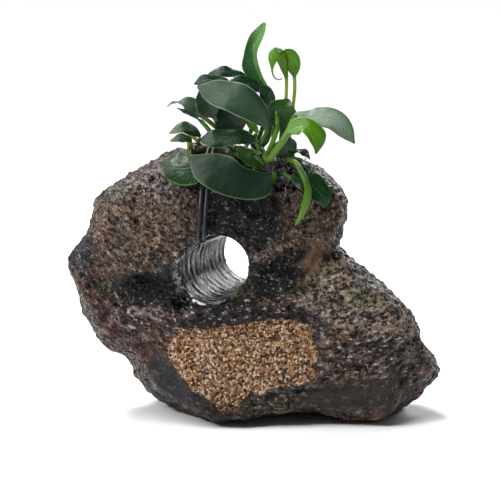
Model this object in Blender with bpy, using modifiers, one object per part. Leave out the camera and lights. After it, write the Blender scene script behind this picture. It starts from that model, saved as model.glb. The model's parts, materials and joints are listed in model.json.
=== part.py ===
"""A small aquarium plant grown on a pierced lava stone, one solid for each piece.

Metres, +Z up. The hole through the stone runs along +Y, and the origin lies on the stone's
flat foot. Outlines are drawn as a viewer sees them, on a grid of 0.3 mm squares counted from
the upper left corner of the view, with the distance behind the picture plane in millimetres.
"""

import itertools
import math

import bmesh
import bpy
from mathutils import Matrix, Vector
from mathutils.bvhtree import BVHTree

MM = 0.001
GAP = 0.3 * MM  # kept between pieces that touch

# The view that the outlines are drawn in
GRID = 0.3 * MM
GRID_CENTRE = 250.0
VIEW_TURN = math.radians(16.0)
VIEW_DIP = math.radians(7.0)
VIEW_DISTANCE = 600.0 * MM
VIEW_HEIGHT = 48.8 * MM

# Stone
RIM_DEPTH = 0.28  # part of a lump's thickness between its face and its widest outline
STONE_VOXEL = 1.3 * MM
STONE_SMOOTHING = 8
SWELL_SIZE, SWELL_DEPTH = 0.021, 3.4 * MM
LUMP_SIZE, LUMP_DEPTH = 0.0075, 1.6 * MM
STONE_KEPT_FACES = 0.078
STONE_REACH = 100 * MM  # longer than anything that is cut
PATCH_FRONT = -21.6  # mm behind the picture plane
PATCH_CUT = 30 * MM
HOLE_CENTRE = (213.5, 268.5, -20.0)  # near rim, on the grid, with mm behind the picture plane
HOLE_RADIUS = 9.3 * MM
HOLE_SEGMENTS = 40

# Creeping stem
RHIZOME_RADIUS = 2.3 * MM
RHIZOME_RINGS = 12
RHIZOME_SIDES = 10
SEAT_CLEARANCE = 0.35 * MM
SEAT_STRETCH = 1.0 * MM

# Leaves
STALK_RADIUS = 0.7 * MM
STALK_START = 2.2 * MM  # run straight out of the creeping stem before a stalk bends
STALK_RINGS = 4
BLADE_RINGS = 4  # and one more for every two of a blade's widths
BLADE_HALF_THICKNESS = 0.27 * MM
BLADE_SETTLE = 0.18  # part of a blade over which the round stalk turns flat
ROLLED_THICKNESS = 0.8  # of the half width, in a leaf that is still rolled up
TIP_RADIUS = 0.3 * MM
LEAF_SIDES = 8

# Roots
ROOT_RADIUS = 0.55 * MM
ROOT_TAPER = 0.5
ROOT_RINGS = 10
ROOT_SIDES = 6
ROOT_LIFT = ROOT_RADIUS + 2.5 * GAP

# Tie
TIE_RADIUS = 0.6 * MM
TIE_OFFSET = -4.2 * MM  # middle of the two strands from the axis of the hole
TIE_SAG = 0.05 * MM
TIE_LONGEST_STEP = 6.0 * MM
PROBE_STEP = 0.5 * MM
PROBE_ROWS = 80
PROBE_COLUMNS = 60
SWOLLEN_SIDES = 24

RIGHT = Vector((math.cos(VIEW_TURN), math.sin(VIEW_TURN), 0.0))
AWAY = Vector((
    -math.sin(VIEW_TURN) * math.cos(VIEW_DIP),
    math.cos(VIEW_TURN) * math.cos(VIEW_DIP),
    -math.sin(VIEW_DIP),
))
UPWARD = RIGHT.cross(AWAY)
VIEW_AXES = Matrix((RIGHT, UPWARD, -AWAY)).transposed().to_4x4()

# Each lump of the stone is an outline on the grid with its front and back, in mm behind the
# picture plane, the slopes of both faces across and down, in mm for each grid square, and how
# much of the outline is left on the two faces.
STONE_LUMPS = {
    "upper_left": dict(
        outline=[(174, 151), (139, 171), (105, 192), (95, 200), (90, 225), (92, 262), (125, 284),
                 (170, 300), (226, 260), (240, 160)],
        front=-17.5, back=19, slope=(0.02, -0.07), back_slope=(-0.03, 0.05), keep=0.8),
    "left_tip": dict(
        outline=[(93, 226), (81, 241), (70, 255), (72, 270), (78, 287), (118, 315), (165, 320),
                 (160, 240), (120, 220)],
        front=-16.5, back=13, slope=(-0.05, -0.02), back_slope=(0.05, 0.0), keep=0.74),
    "left_slope": dict(
        outline=[(76, 284), (86, 304), (103, 331), (116, 346), (130, 357), (190, 352), (205, 312),
                 (170, 296), (120, 294)],
        front=-18.5, back=18, slope=(-0.05, 0.03), back_slope=(0.04, 0.02), keep=0.74),
    "lower_left": dict(
        outline=[(130, 355), (137, 369), (141, 380), (151, 391), (165, 399), (180, 406), (196, 415),
                 (210, 421), (245, 416), (262, 370), (232, 320), (160, 318)],
        front=-20, back=26, slope=(-0.06, 0.0), back_slope=(0.05, -0.02), keep=0.78),
    "middle": dict(
        outline=[(150, 205), (172, 155), (215, 152), (262, 153), (304, 165), (334, 205), (330, 260),
                 (322, 310), (250, 332), (180, 322), (150, 290)],
        front=-17.5, back=21, slope=(0.0, -0.03), back_slope=(0.0, 0.05), keep=0.88),
    "upper_right": dict(
        outline=[(255, 158), (304, 163), (323, 174), (334, 188), (341, 201), (344, 214), (338, 240),
                 (327, 266), (303, 288), (272, 262), (250, 205)],
        front=-18.3, back=17, slope=(0.03, -0.04), back_slope=(-0.06, 0.05), keep=0.82),
    "ledge": dict(
        outline=[(150, 298), (200, 306), (260, 297), (328, 288), (345, 306), (300, 318), (258, 319),
                 (215, 327), (165, 326)],
        front=-24.0, back=0, slope=(0.01, 0.0), back_slope=(0.0, 0.0), keep=0.7),
    "lower_middle": dict(
        outline=[(165, 318), (325, 300), (340, 380), (312, 412), (300, 408), (260, 412), (236, 417),
                 (209, 421), (186, 405)],
        front=-22.5, back=28, slope=(0.0, 0.01), back_slope=(0.0, 0.03), keep=0.93),
    "right_lobe": dict(
        outline=[(285, 296), (318, 262), (340, 250), (352, 268), (374, 284), (400, 306), (412, 317),
                 (418, 338), (421, 352), (416, 376), (372, 402), (310, 394), (290, 345)],
        front=-21, back=20, slope=(0.02, -0.02), back_slope=(-0.07, 0.03), keep=0.78),
    "right_tip": dict(
        outline=[(385, 335), (420, 349), (430, 357), (435, 368), (435, 377), (424, 389), (409, 400),
                 (394, 410), (356, 402), (365, 350)],
        front=-17, back=8, slope=(0.05, 0.0), back_slope=(-0.08, 0.0), keep=0.7),
    "right_foot": dict(
        outline=[(290, 370), (330, 362), (396, 370), (408, 400), (394, 413), (378, 421), (357, 421),
                 (331, 419), (311, 412), (290, 404)],
        front=-20.5, back=24, slope=(0.0, 0.02), back_slope=(-0.04, -0.03), keep=0.84),
}

# Each hollow of the stone is a stretched ball: its place on the grid with mm behind the picture
# plane, its radii in mm across, up and towards the viewer, and its turn in degrees.
HOLLOWS = {
    "hollow_left": ((141, 289, -21.5), (8.5, 4.4, 5.0), 4),
    "pit_under_hole": ((181, 303, -22.5), (2.6, 3.8, 4.5), 20),
    "hollow_right_of_hole": ((290, 268, -25), (13.0, 6.0, 8.0), 12),
    "cleft": ((318, 258, -21), (11.0, 1.6, 4.0), 60),
    "scoop_above_ledge": ((235, 300, -27.5), (17.0, 3.0, 5.0), 3),
    "seat_left": ((232, 155, -14), (12.0, 4.5, 6.0), -8),
    "seat_right": ((274, 167, -17.5), (11.5, 6.5, 7.5), -18),
    "slit_right": ((412, 370, -13), (3.2, 0.9, 4.0), 2),
}

# The coarse-grained patch is a flatter face inside this outline.
PATCH = [(174, 337), (182, 329), (208, 330), (228, 327), (253, 322), (279, 321), (303, 323),
         (312, 327), (311, 336), (316, 346), (318, 358), (314, 369), (314, 380), (298, 386),
         (279, 386), (260, 395), (250, 390), (238, 402), (228, 415), (220, 411), (211, 402),
         (194, 392), (182, 377), (171, 362), (166, 349)]

# The creeping stem, as places on the grid with mm behind the picture plane
RHIZOME = [(188, 149, -5.5), (213, 149, -6.8), (241, 153, -8.4), (264, 161, -10.4), (288, 173, -12.6)]

# Each leaf starts on the rhizome, so far along it and at so many degrees round it from the
# viewer's side. Stalk and blade are places on the grid with mm behind the picture plane, base
# first. Half widths are grid squares at even steps of the blade, to the left and the right of
# its run. Face is the direction of the upper side, across, up and towards the viewer.
LEAVES = {
    "leaf_tall": dict(
        root=(0.74, 118), stalk=[(274, 135, -7), (270, 105, -7)],
        blade=[(266, 87, -8), (259, 80, -8.3), (252, 70, -8.7), (249.4, 59, -9), (252, 44, -9),
               (259, 33, -8.5), (264.5, 23, -8)],
        half=[(2, 2), (6.5, 6.5), (7.5, 7.5), (7.6, 7.6), (7.4, 7.4), (7.6, 7.6), (7.4, 7.4), (2, 2)],
        face=[(-0.5, 0.1, 0.85), (-0.4, 0.3, 0.85)], cup=0.25, tone="mid"),
    "leaf_curled": dict(
        root=(0.84, 112), stalk=[(283, 135, -7.5), (286, 100, -8)],
        blade=[(288, 79, -8.5), (285, 66, -9.5), (280, 53, -10.5), (274, 50.5, -11.5), (271.5, 58, -12),
               (272.5, 71, -12)],
        half=[(1.5, 1.5), (3.2, 3.2), (5.5, 5.5), (6, 5), (5.5, 4.5), (4.2, 3.6), (0.8, 0.8)],
        face=[(0.6, 0.2, 0.8), (0.1, 0.6, 0.8), (-0.55, 0.1, 0.85)], cup=-0.3, tone="young"),
    "leaf_cupped": dict(
        root=(0.88, 100), stalk=[(290, 135, -6.5), (293, 107, -6.5), (295, 90, -6.5)],
        blade=[(295, 77, -7), (294.5, 67, -7.5), (292.5, 57, -8), (286, 49.5, -8.5)],
        half=[(1.5, 1.5), (7, 6), (9, 8), (7.5, 7), (1.5, 1.5)],
        face=[(-0.3, 0.0, 0.95), (-0.2, -0.2, 0.95)], cup=0.35, tone="young"),
    "leaf_back_top": dict(
        root=(0.51, 150), stalk=[(252, 125, -1), (254, 95, -3)],
        blade=[(247, 79, -4), (238, 74, -5), (226, 71, -6), (215, 72, -6), (206, 77, -6)],
        half=[(1.5, 1.5), (4, 4), (5.5, 5.5), (6, 6), (4.5, 4), (0.8, 0.8)],
        face=[(0.0, 0.45, 0.9)], cup=-0.2, tone="dark"),
    "leaf_back_left": dict(
        root=(0.45, 120), stalk=[(240, 125, -5), (236, 95, -8)],
        blade=[(226, 80, -9.5), (216, 80, -10.5), (205, 80, -11), (194, 84, -11)],
        half=[(1.5, 1.5), (5, 5), (5.5, 5.5), (5, 5), (0.8, 0.8)],
        face=[(0.0, 0.4, 0.9)], cup=-0.15, tone="dark"),
    "leaf_upper_big": dict(
        root=(0.60, 64), stalk=[(256, 149, -14), (264, 138, -16.8)],
        blade=[(267, 129, -18.5), (261, 117, -20), (249, 105, -21.5), (234, 97, -21.5),
               (217, 92, -20), (197, 86, -17.5)],
        half=[(2, 2), (10, 10), (14, 14), (16, 16), (16.5, 16.5), (14, 14), (9, 9), (0.9, 0.9)],
        face=[(-0.1, 0.45, 0.85), (-0.2, 0.4, 0.85)], cup=-0.1, tone="dark"),
    "leaf_beside_upper": dict(
        root=(0.67, 95), stalk=[(268, 140, -9.5), (272, 118, -10.5)],
        blade=[(271, 107, -11.5), (269, 98, -12.5), (265, 91, -13), (259, 86, -13)],
        half=[(1.5, 1.5), (5.5, 5), (6.5, 6), (5.5, 5), (1, 1)],
        face=[(-0.4, 0.3, 0.85)], cup=0.1, tone="dark"),
    "leaf_behind_upper": dict(
        root=(0.58, 135), stalk=[(262, 130, -6.0), (266, 108, -8)],
        blade=[(262, 93, -10), (253, 85, -11.5), (243, 82, -12.5), (229, 82, -13)],
        half=[(1.5, 1.5), (5, 5), (5.5, 5.5), (5, 5), (0.8, 0.8)],
        face=[(0.0, 0.5, 0.85)], cup=-0.1, tone="dark"),
    "leaf_left_pale": dict(
        root=(0.36, 95), stalk=[(225, 134, -9), (211, 123, -11.5)],
        blade=[(204, 117, -13), (195, 107, -14), (186, 102, -14.5), (178, 102, -14.5)],
        half=[(2, 2), (7, 6), (7.5, 7), (5.5, 5), (1.2, 1.2)],
        face=[(-0.3, 0.5, 0.8)], cup=-0.2, tone="pale"),
    "leaf_left_thread": dict(
        root=(0.38, 138), stalk=[(224, 131, -4.5), (204, 118, -8)],
        blade=[(192, 108, -10.5), (182, 103, -11.5), (173, 103, -11.8), (167, 107, -11.8)],
        half=[(1.2, 1.2), (2.4, 2.4), (2, 2), (1.4, 1.4), (0.7, 0.7)],
        face=[(-0.2, 0.8, 0.5)], cup=0.3, tone="pale"),
    "leaf_left_edge": dict(
        root=(0.36, 30), stalk=[(217, 142, -14.5), (209, 130, -16)],
        blade=[(202, 122, -16), (193, 116.5, -16.8), (185, 112.5, -17), (177, 108, -17)],
        half=[(1.5, 1.5), (2.6, 2.6), (3, 3), (2, 2), (0.7, 0.7)],
        face=[(-0.4, 0.85, 0.3)], cup=0.2, tone="dark"),
    "leaf_left_dark": dict(
        root=(0.44, 82), stalk=[(226, 137, -10.5), (219, 126, -13.2)],
        blade=[(215, 118, -14.8), (209, 108, -15.6), (204, 98, -15.6), (200, 89, -15)],
        half=[(2, 2), (9, 9), (10, 9), (7, 6), (1, 1)],
        face=[(-0.3, 0.15, 0.95)], cup=0.2, tone="dark"),
    "leaf_under_upper": dict(
        root=(0.48, 60), stalk=[(238, 142, -12.5)],
        blade=[(238, 134, -13), (232, 124, -13.8), (225, 115, -14), (218, 109, -13.6)],
        half=[(2, 2), (9, 9), (11, 11), (8, 8), (1, 1)],
        face=[(-0.2, 0.3, 0.9)], cup=0.15, tone="dark"),
    "leaf_low_left_upper": dict(
        root=(0.02, 95), stalk=[(198, 141, -7.5)],
        blade=[(200, 136.5, -9.5), (192, 130, -11), (182, 128, -12), (169, 133.5, -12)],
        half=[(1.5, 1.5), (6.5, 8), (7, 9), (5, 6.5), (0.8, 0.8)],
        face=[(-0.1, 0.6, 0.8)], cup=-0.15, tone="pale"),
    "leaf_low_left_lower": dict(
        root=(0.03, 40), stalk=[(190, 150, -11.5)],
        blade=[(190, 141, -13), (186, 137.5, -14), (179, 137.5, -14.5), (170, 141, -14.5)],
        half=[(2, 2), (5, 4), (5.5, 4.5), (4, 3), (0.8, 0.8)],
        face=[(0.0, 0.4, 0.9)], cup=-0.15, tone="pale"),
    "leaf_middle": dict(
        root=(0.52, 12), stalk=[(258, 152, -15.8)],
        blade=[(256, 142, -16.5), (243, 136.5, -17.5), (228, 136, -18.5), (213, 137.5, -19),
               (200, 141, -18.5)],
        half=[(2, 2), (6, 6), (9, 9.5), (11, 11), (11, 11), (7.5, 7), (1.2, 1.2)],
        face=[(0.0, 0.6, 0.8)], cup=-0.2, tone="dark"),
    "leaf_front_big": dict(
        root=(0.87, -12), stalk=[(275, 175, -19)],
        blade=[(272, 177, -20.5), (258, 181.5, -22.5), (242, 181, -24), (226, 177, -24.5),
               (208, 169, -24), (192, 159, -22)],
        half=[(2, 2), (14, 11), (19, 12.5), (20.5, 15), (20, 22), (18, 21), (14, 15), (1.6, 3)],
        face=[(0.05, 0.3, 0.95)], cup=-0.08, tone="dark"),
    "leaf_front_left": dict(
        root=(0.04, -5), stalk=[(189, 155, -14.5), (192, 158, -17.8)],
        blade=[(198, 161, -19), (190, 166.5, -18.9), (178, 168, -17.8), (162, 163, -16)],
        half=[(2, 2), (17, 9), (18, 15), (15, 15.5), (10.5, 10), (1, 1)],
        face=[(-0.1, 0.3, 0.95)], cup=-0.1, tone="dark"),
    "leaf_between": dict(
        root=(0.67, 5), stalk=[(264, 165, -16)],
        blade=[(261, 166, -17.5), (252, 162, -20), (243, 156, -21.5), (237, 147, -21.5)],
        half=[(1.5, 1.5), (5, 5), (6.5, 6), (5, 4), (1, 1)],
        face=[(0.1, 0.4, 0.9)], cup=0.2, tone="mid"),
    "leaf_rolled_small": dict(
        root=(0.50, 84), stalk=[(248, 144, -11.5), (254, 137, -14.5)],
        blade=[(257, 132, -16.8), (252, 126.5, -17.5), (245, 121, -17.7)],
        half=[(1.5, 1.5), (4, 4), (3.5, 3.5), (1, 1)],
        face=[(0.0, 0.4, 0.9)], cup=0.3, tone="young"),
    "leaf_young_bright": dict(
        root=(0.77, 20), stalk=[(268, 161, -19.5), (277, 149, -21.5), (284, 139, -22.3)],
        blade=[(288, 134, -22.5), (297, 128.5, -23.5), (307, 128.5, -24.5), (313.5, 138, -25),
               (315, 155, -24.5)],
        half=[(3, 3), (10, 3), (13, 7), (12, 9), (11, 8), (12.5, 4), (9.5, 2.5), (0.9, 0.9)],
        face=[(-0.2, 0.35, 0.9), (0.3, 0.3, 0.9)], cup=-0.15, tone="young", stalk_radius=1.05),
    "leaf_spike": dict(
        root=(0.69, 55), stalk=[(265, 156, -15), (271, 146, -17.5)],
        blade=[(277, 130, -19), (277.5, 122, -19), (276, 111, -18.5)],
        half=[(2.4, 2.4), (2.2, 2.2), (1.7, 1.7), (0.8, 0.8)],
        face=[(0.2, 0.2, 0.9)], cup=0.0, tone="young", stalk_radius=0.75, rolled=True),
    "leaf_right_big": dict(
        root=(0.93, 96), stalk=[(287, 142, -12.8), (291, 124, -17.2)],
        blade=[(295, 114, -18.5), (308, 117, -20), (321, 118, -20.5), (334, 121, -20.5),
               (345, 130, -20), (355, 144, -19)],
        half=[(1.5, 1.5), (8.5, 7.5), (15, 10.5), (18, 12), (16.5, 12), (10.5, 7.5), (0.8, 0.8)],
        face=[(0.1, 0.6, 0.75), (0.35, 0.45, 0.8)], cup=-0.12, tone="grey"),
    "leaf_right_deep": dict(
        root=(0.79, 80), stalk=[(280, 145, -12)],
        blade=[(282, 132, -13.0), (283.5, 121, -14.6), (284, 110, -15.8), (289, 99, -16)],
        half=[(1.5, 1.5), (8, 8), (11, 10), (9.5, 8.5), (1, 1)],
        face=[(-0.1, 0.2, 0.95)], cup=0.15, tone="mid"),
    "leaf_right_dark": dict(
        root=(0.85, 62), stalk=[(280, 161, -13.8)],
        blade=[(286, 158, -15), (287, 151, -15.8), (288, 144, -16.3), (288, 136, -16.4)],
        half=[(3, 3), (10, 9), (10.5, 9), (8, 8), (1, 1)],
        face=[(0.2, 0.2, 0.95)], cup=0.15, tone="dark"),
    "leaf_hanging": dict(
        root=(0.95, 32), stalk=[(293, 161, -19.8)],
        blade=[(298, 166, -21.5), (305, 179, -22.8), (308, 190, -23.2), (306, 203, -23.2),
               (301, 216, -22.8), (295, 225.5, -22.3)],
        half=[(2.6, 2.6), (3.2, 3.2), (3.6, 3.6), (3.6, 3.6), (3, 3), (0.8, 0.8)],
        face=[(0.3, 0.3, 0.9)], cup=0.0, tone="young", rolled=True),
    "leaf_on_stone": dict(
        root=(0.99, -8), stalk=[(289, 177, -19)],
        blade=[(291, 178, -19.8), (301, 181, -20.4), (312, 187, -20.6), (321, 196, -20.3),
               (326.5, 207, -19.8)],
        half=[(2, 2), (10, 8), (14.5, 9.5), (14, 10), (11, 8.5), (1.5, 1.5)],
        face=[(0.15, 0.3, 0.95)], cup=-0.05, tone="dark"),
    "leaf_strip": dict(
        root=(0.99, 62), stalk=[(295, 159, -16.5)],
        blade=[(300, 160, -17), (306, 165, -19.5), (310, 171, -21.2), (312.5, 177, -21.5)],
        half=[(1.5, 1.5), (2.4, 2.4), (2.4, 2.4), (0.8, 0.8)],
        face=[(0.3, 0.5, 0.8)], cup=0.2, tone="dark"),
    "leaf_small_tip": dict(
        root=(0.98, 100), stalk=[(291, 154, -10)],
        blade=[(295, 151, -11), (301, 151, -12), (306, 154, -12.5), (310, 159, -12.8)],
        half=[(1.5, 1.5), (4.5, 4), (4.5, 4), (0.8, 0.8)],
        face=[(0.2, 0.6, 0.75)], cup=-0.1, tone="dark"),
}

# Colour and roughness of the leaves
TONES = {
    "dark": ((0.012, 0.035, 0.018), 0.3),
    "mid": ((0.05, 0.16, 0.035), 0.32),
    "young": ((0.16, 0.34, 0.04), 0.35),
    "pale": ((0.09, 0.13, 0.08), 0.35),
    "grey": ((0.12, 0.17, 0.12), 0.3),
}

# Each root leaves the rhizome so far along it and at so many degrees round it, and then lies on
# the stone, close to these places on the grid with mm behind the picture plane.
ROOTS = {
    "root_front_right": dict(root=(0.92, -25), run=[(283, 186, -18), (286, 194, -19), (284, 203, -19)]),
    "root_front_middle": dict(root=(0.72, -30), run=[(262, 178, -15), (256, 188, -16), (253, 197, -17)]),
    "root_front_left": dict(root=(0.47, -30), run=[(234, 170, -15), (232, 179, -16), (226, 188, -16)]),
    "root_back_right": dict(
        root=(0.80, 128),
        run=[(276, 150, -3), (284, 154, 5), (288, 166, 13), (292, 180, 17), (296, 194, 19)]),
    "root_back_middle": dict(
        root=(0.66, 140),
        run=[(257, 148, 0), (257, 150, 7), (255, 161, 16), (254, 176, 18), (258, 192, 19)]),
}


def seen(column, row, away):
    """Point that the viewer sees at a place on the grid, away mm behind the picture plane."""
    depth = away * MM
    spread = (1.0 + depth / VIEW_DISTANCE) * GRID
    aim = Vector((0.0, 0.0, VIEW_HEIGHT))
    across = (column - GRID_CENTRE) * spread
    height = (GRID_CENTRE - row) * spread
    return aim + RIGHT * across + UPWARD * height + AWAY * depth


def view_direction(across, up, toward):
    """Unit direction given as the viewer sees it."""
    return (RIGHT * across + UPWARD * up - AWAY * toward).normalized()


def clear_scene():
    for obj in list(bpy.data.objects):
        bpy.data.objects.remove(obj, do_unlink=True)


def new_collection(name):
    group = bpy.data.collections.new(name)
    bpy.context.scene.collection.children.link(group)
    return group


def new_material(name, colour, roughness):
    mat = bpy.data.materials.new(name)
    mat.use_nodes = True
    shader = mat.node_tree.nodes["Principled BSDF"]
    shader.inputs["Base Color"].default_value = (*colour, 1.0)
    shader.inputs["Roughness"].default_value = roughness
    shader.inputs["Metallic"].default_value = 0.0
    mat.diffuse_color = (*colour, 1.0)
    return mat


def new_mesh(name, bm):
    """Mesh made from a bmesh, which is freed."""
    mesh = bpy.data.meshes.new(name)
    bm.to_mesh(mesh)
    bm.free()
    return mesh


def new_object(name, data, group, mat=None):
    obj = bpy.data.objects.new(name, data)
    group.objects.link(obj)
    if mat:
        data.materials.append(mat)
    return obj


def new_cutter(name, mesh, group):
    obj = new_object(name, mesh, group)
    obj.hide_render = True
    obj.display_type = "WIRE"
    return obj


def cut(obj, cutter):
    mod = obj.modifiers.new(cutter.name, "BOOLEAN")
    mod.operation = "DIFFERENCE"
    mod.solver = "EXACT"
    mod.object = cutter


def evaluated_tree(obj):
    """Search tree of an object with its modifiers."""
    bpy.context.view_layer.update()
    return BVHTree.FromObject(obj, bpy.context.evaluated_depsgraph_get())


def smooth_run(points, count):
    """Even points on a smooth curve through the given ones."""
    ends = [points[0] * 2 - points[1]] + list(points) + [points[-1] * 2 - points[-2]]
    steps = 12
    dense = []
    for i in range(1, len(ends) - 2):
        before, start, stop, after = ends[i - 1:i + 3]
        for k in range(steps):
            t = k / steps
            dense.append(0.5 * (
                2 * start + (stop - before) * t
                + (2 * before - 5 * start + 4 * stop - after) * t ** 2
                + (3 * start - before - 3 * stop + after) * t ** 3))
    dense.append(points[-1].copy())
    lengths = [0.0]
    for one, two in itertools.pairwise(dense):
        lengths.append(lengths[-1] + (two - one).length)
    run, k = [], 0
    for i in range(count):
        goal = lengths[-1] * i / (count - 1)
        while k < len(dense) - 2 and lengths[k + 1] < goal:
            k += 1
        share = (goal - lengths[k]) / max(lengths[k + 1] - lengths[k], 1e-12)
        run.append(dense[k].lerp(dense[k + 1], min(share, 1.0)))
    return run


def mix_list(values, t):
    """Value at t of 0 to 1 along evenly spaced tuples."""
    if len(values) == 1:
        return values[0]
    place = t * (len(values) - 1)
    k = min(int(place), len(values) - 2)
    return tuple(a + (b - a) * (place - k) for a, b in zip(values[k], values[k + 1]))


def ring_tube(name, rings, sides, place_vertex):
    """Closed tube of so many rings, each of whose vertices is put in place by a function."""
    bm = bmesh.new()
    bmesh.ops.create_cone(bm, cap_ends=True, segments=sides, radius1=1.0, radius2=1.0, depth=1.0)
    walls = [edge for edge in bm.edges if abs(edge.verts[0].co.z - edge.verts[1].co.z) > 0.5]
    bmesh.ops.subdivide_edges(bm, edges=walls, cuts=rings - 2, use_grid_fill=True)
    for vert in bm.verts:
        ring = round((vert.co.z + 0.5) * (rings - 1))
        vert.co = place_vertex(ring, math.atan2(vert.co.y, vert.co.x))
    bmesh.ops.recalc_face_normals(bm, faces=bm.faces)
    if bm.calc_volume(signed=True) < 0:
        bmesh.ops.reverse_faces(bm, faces=bm.faces)
    return new_mesh(name, bm)


def tube_mesh(name, points, radii, sides):
    """Round tube along points, with a radius at each."""
    frames = []
    for i, centre in enumerate(points):
        ahead = points[min(i + 1, len(points) - 1)] - points[max(i - 1, 0)]
        side = ahead.cross(AWAY + UPWARD * 0.31).normalized()
        frames.append((centre, side, side.cross(ahead).normalized(), radii[i]))

    def place_vertex(ring, angle):
        centre, side, normal, radius = frames[ring]
        return centre + (side * math.cos(angle) + normal * math.sin(angle)) * radius

    return ring_tube(name, len(points), sides, place_vertex)


def lump_points(outline, front, back, slope, back_slope, keep):
    """Corners of one convex lump: the outline at mid depth and a smaller face on each side."""
    centre_x = sum(point[0] for point in outline) / len(outline)
    centre_y = sum(point[1] for point in outline) / len(outline)
    rim = (back - front) * RIM_DEPTH
    points = []
    for column, row in outline:
        x, y = column - centre_x, row - centre_y
        near = front + slope[0] * x + slope[1] * y
        far = back + back_slope[0] * x + back_slope[1] * y
        points.append(seen(column, row, near + rim))
        points.append(seen(column, row, far - rim))
        points.append(seen(centre_x + keep * x, centre_y + keep * y, near))
        points.append(seen(centre_x + keep * x, centre_y + keep * y, far))
    return points


def hull_mesh(name, shapes):
    """Mesh with one convex hull for each list of points."""
    bm = bmesh.new()
    for points in shapes:
        verts = [bm.verts.new(point) for point in points]
        made = bmesh.ops.convex_hull(bm, input=verts)
        spare = [item for item in made["geom_interior"] if isinstance(item, bmesh.types.BMVert)]
        bmesh.ops.delete(bm, geom=spare, context="VERTS")
    bmesh.ops.recalc_face_normals(bm, faces=bm.faces)
    return new_mesh(name, bm)


def ball_cutter(name, place, radii, turn, group):
    """Stretched ball, turned in the picture plane by so many degrees."""
    bm = bmesh.new()
    bmesh.ops.create_icosphere(bm, subdivisions=3, radius=1.0)
    spin = Matrix.Rotation(math.radians(turn), 4, "Z")
    grow = Matrix.Diagonal((*(radius * MM for radius in radii), 1.0))
    bm.transform(Matrix.Translation(seen(*place)) @ VIEW_AXES @ spin @ grow)
    return new_cutter(name, new_mesh(name, bm), group)


def outline_cutter(name, outline, away, group):
    """Slab with an outline drawn on the grid, from a plane out towards the viewer."""
    curve = bpy.data.curves.new(name, "CURVE")
    curve.dimensions = "2D"
    curve.fill_mode = "BOTH"
    curve.extrude = PATCH_CUT / 2
    spline = curve.splines.new("POLY")
    spline.points.add(len(outline) - 1)
    spread = (1.0 + away * MM / VIEW_DISTANCE) * GRID
    for point, (column, row) in zip(spline.points, outline):
        point.co = ((column - GRID_CENTRE) * spread, (GRID_CENTRE - row) * spread, 0.0, 1.0)
    spline.use_cyclic_u = True
    guide = new_object(name + "_outline", curve, group)
    middle = seen(GRID_CENTRE, GRID_CENTRE, away) - AWAY * PATCH_CUT / 2
    guide.matrix_world = Matrix.Translation(middle) @ VIEW_AXES
    bpy.context.view_layer.update()

    mesh = bpy.data.meshes.new_from_object(guide.evaluated_get(bpy.context.evaluated_depsgraph_get()))
    bm = bmesh.new()
    bm.from_mesh(mesh)
    bmesh.ops.remove_doubles(bm, verts=bm.verts, dist=0.001 * MM)
    bm.to_mesh(mesh)
    bm.free()
    slab = new_cutter(name, mesh, group)
    slab.matrix_world = guide.matrix_world
    bpy.data.objects.remove(guide, do_unlink=True)
    return slab


def block_below(name, group):
    """Block whose top is the plane that the stone stands on."""
    bm = bmesh.new()
    bmesh.ops.create_cube(bm, size=2 * STONE_REACH)
    bm.transform(Matrix.Translation((0.0, 0.0, -STONE_REACH)))
    return new_cutter(name, new_mesh(name, bm), group)


def hole_drill(name, group):
    bm = bmesh.new()
    bmesh.ops.create_cone(
        bm, cap_ends=True, segments=HOLE_SEGMENTS, radius1=HOLE_RADIUS, radius2=HOLE_RADIUS,
        depth=2 * STONE_REACH)
    drill = new_cutter(name, new_mesh(name, bm), group)
    drill.location = hole_axis_point()
    drill.rotation_euler.x = math.pi / 2
    return drill


def hole_axis_point():
    near = seen(*HOLE_CENTRE)
    return Vector((near.x, 0.0, near.z))


def build_stone(group, cutters, mat):
    """Fuses the lumps, roughens them, and cuts the hollows, the foot, the seat and the hole."""
    lumps = [lump_points(**shape) for shape in STONE_LUMPS.values()]
    stone = new_object("stone", hull_mesh("stone", lumps), group, mat)

    fuse = stone.modifiers.new("fuse", "REMESH")
    fuse.mode = "VOXEL"
    fuse.voxel_size = STONE_VOXEL
    soften = stone.modifiers.new("soften", "SMOOTH")
    soften.factor = 0.5
    soften.iterations = STONE_SMOOTHING
    for name, size, depth in (("swell", SWELL_SIZE, SWELL_DEPTH), ("lumps", LUMP_SIZE, LUMP_DEPTH)):
        rough = stone.modifiers.new(name, "DISPLACE")
        rough.texture = bpy.data.textures.new(name, "CLOUDS")
        rough.texture.noise_scale = size
        rough.texture_coords = "GLOBAL"
        rough.strength = depth
        rough.mid_level = 0.5

    for name, (place, radii, turn) in HOLLOWS.items():
        cut(stone, ball_cutter(name, place, radii, turn, cutters))
    cut(stone, outline_cutter("patch_face", PATCH, PATCH_FRONT, cutters))
    thin = stone.modifiers.new("thin", "DECIMATE")
    thin.ratio = STONE_KEPT_FACES
    thin.use_collapse_triangulate = True

    cut(stone, block_below("foot_cut", cutters))
    cut(stone, new_cutter("seat", rhizome_mesh("seat", SEAT_CLEARANCE, SEAT_STRETCH), cutters))
    cut(stone, hole_drill("drill", cutters))
    return stone


def rhizome_mesh(name, grow=0.0, stretch=0.0):
    """The creeping stem, or with some growth the seat that is cut for it."""
    run = smooth_run([seen(*place) for place in RHIZOME], RHIZOME_RINGS)
    run[0] += (run[0] - run[1]).normalized() * stretch
    run[-1] += (run[-1] - run[-2]).normalized() * stretch
    radii = []
    for i in range(RHIZOME_RINGS):
        t = i / (RHIZOME_RINGS - 1)
        blunt = min(1.0, 0.72 + 3.0 * min(t, 1 - t))
        joints = 0.97 + 0.03 * math.cos(5 * math.tau * t)
        radii.append(RHIZOME_RADIUS * blunt * joints + grow)
    return tube_mesh(name, run, radii, RHIZOME_SIDES)


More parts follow.
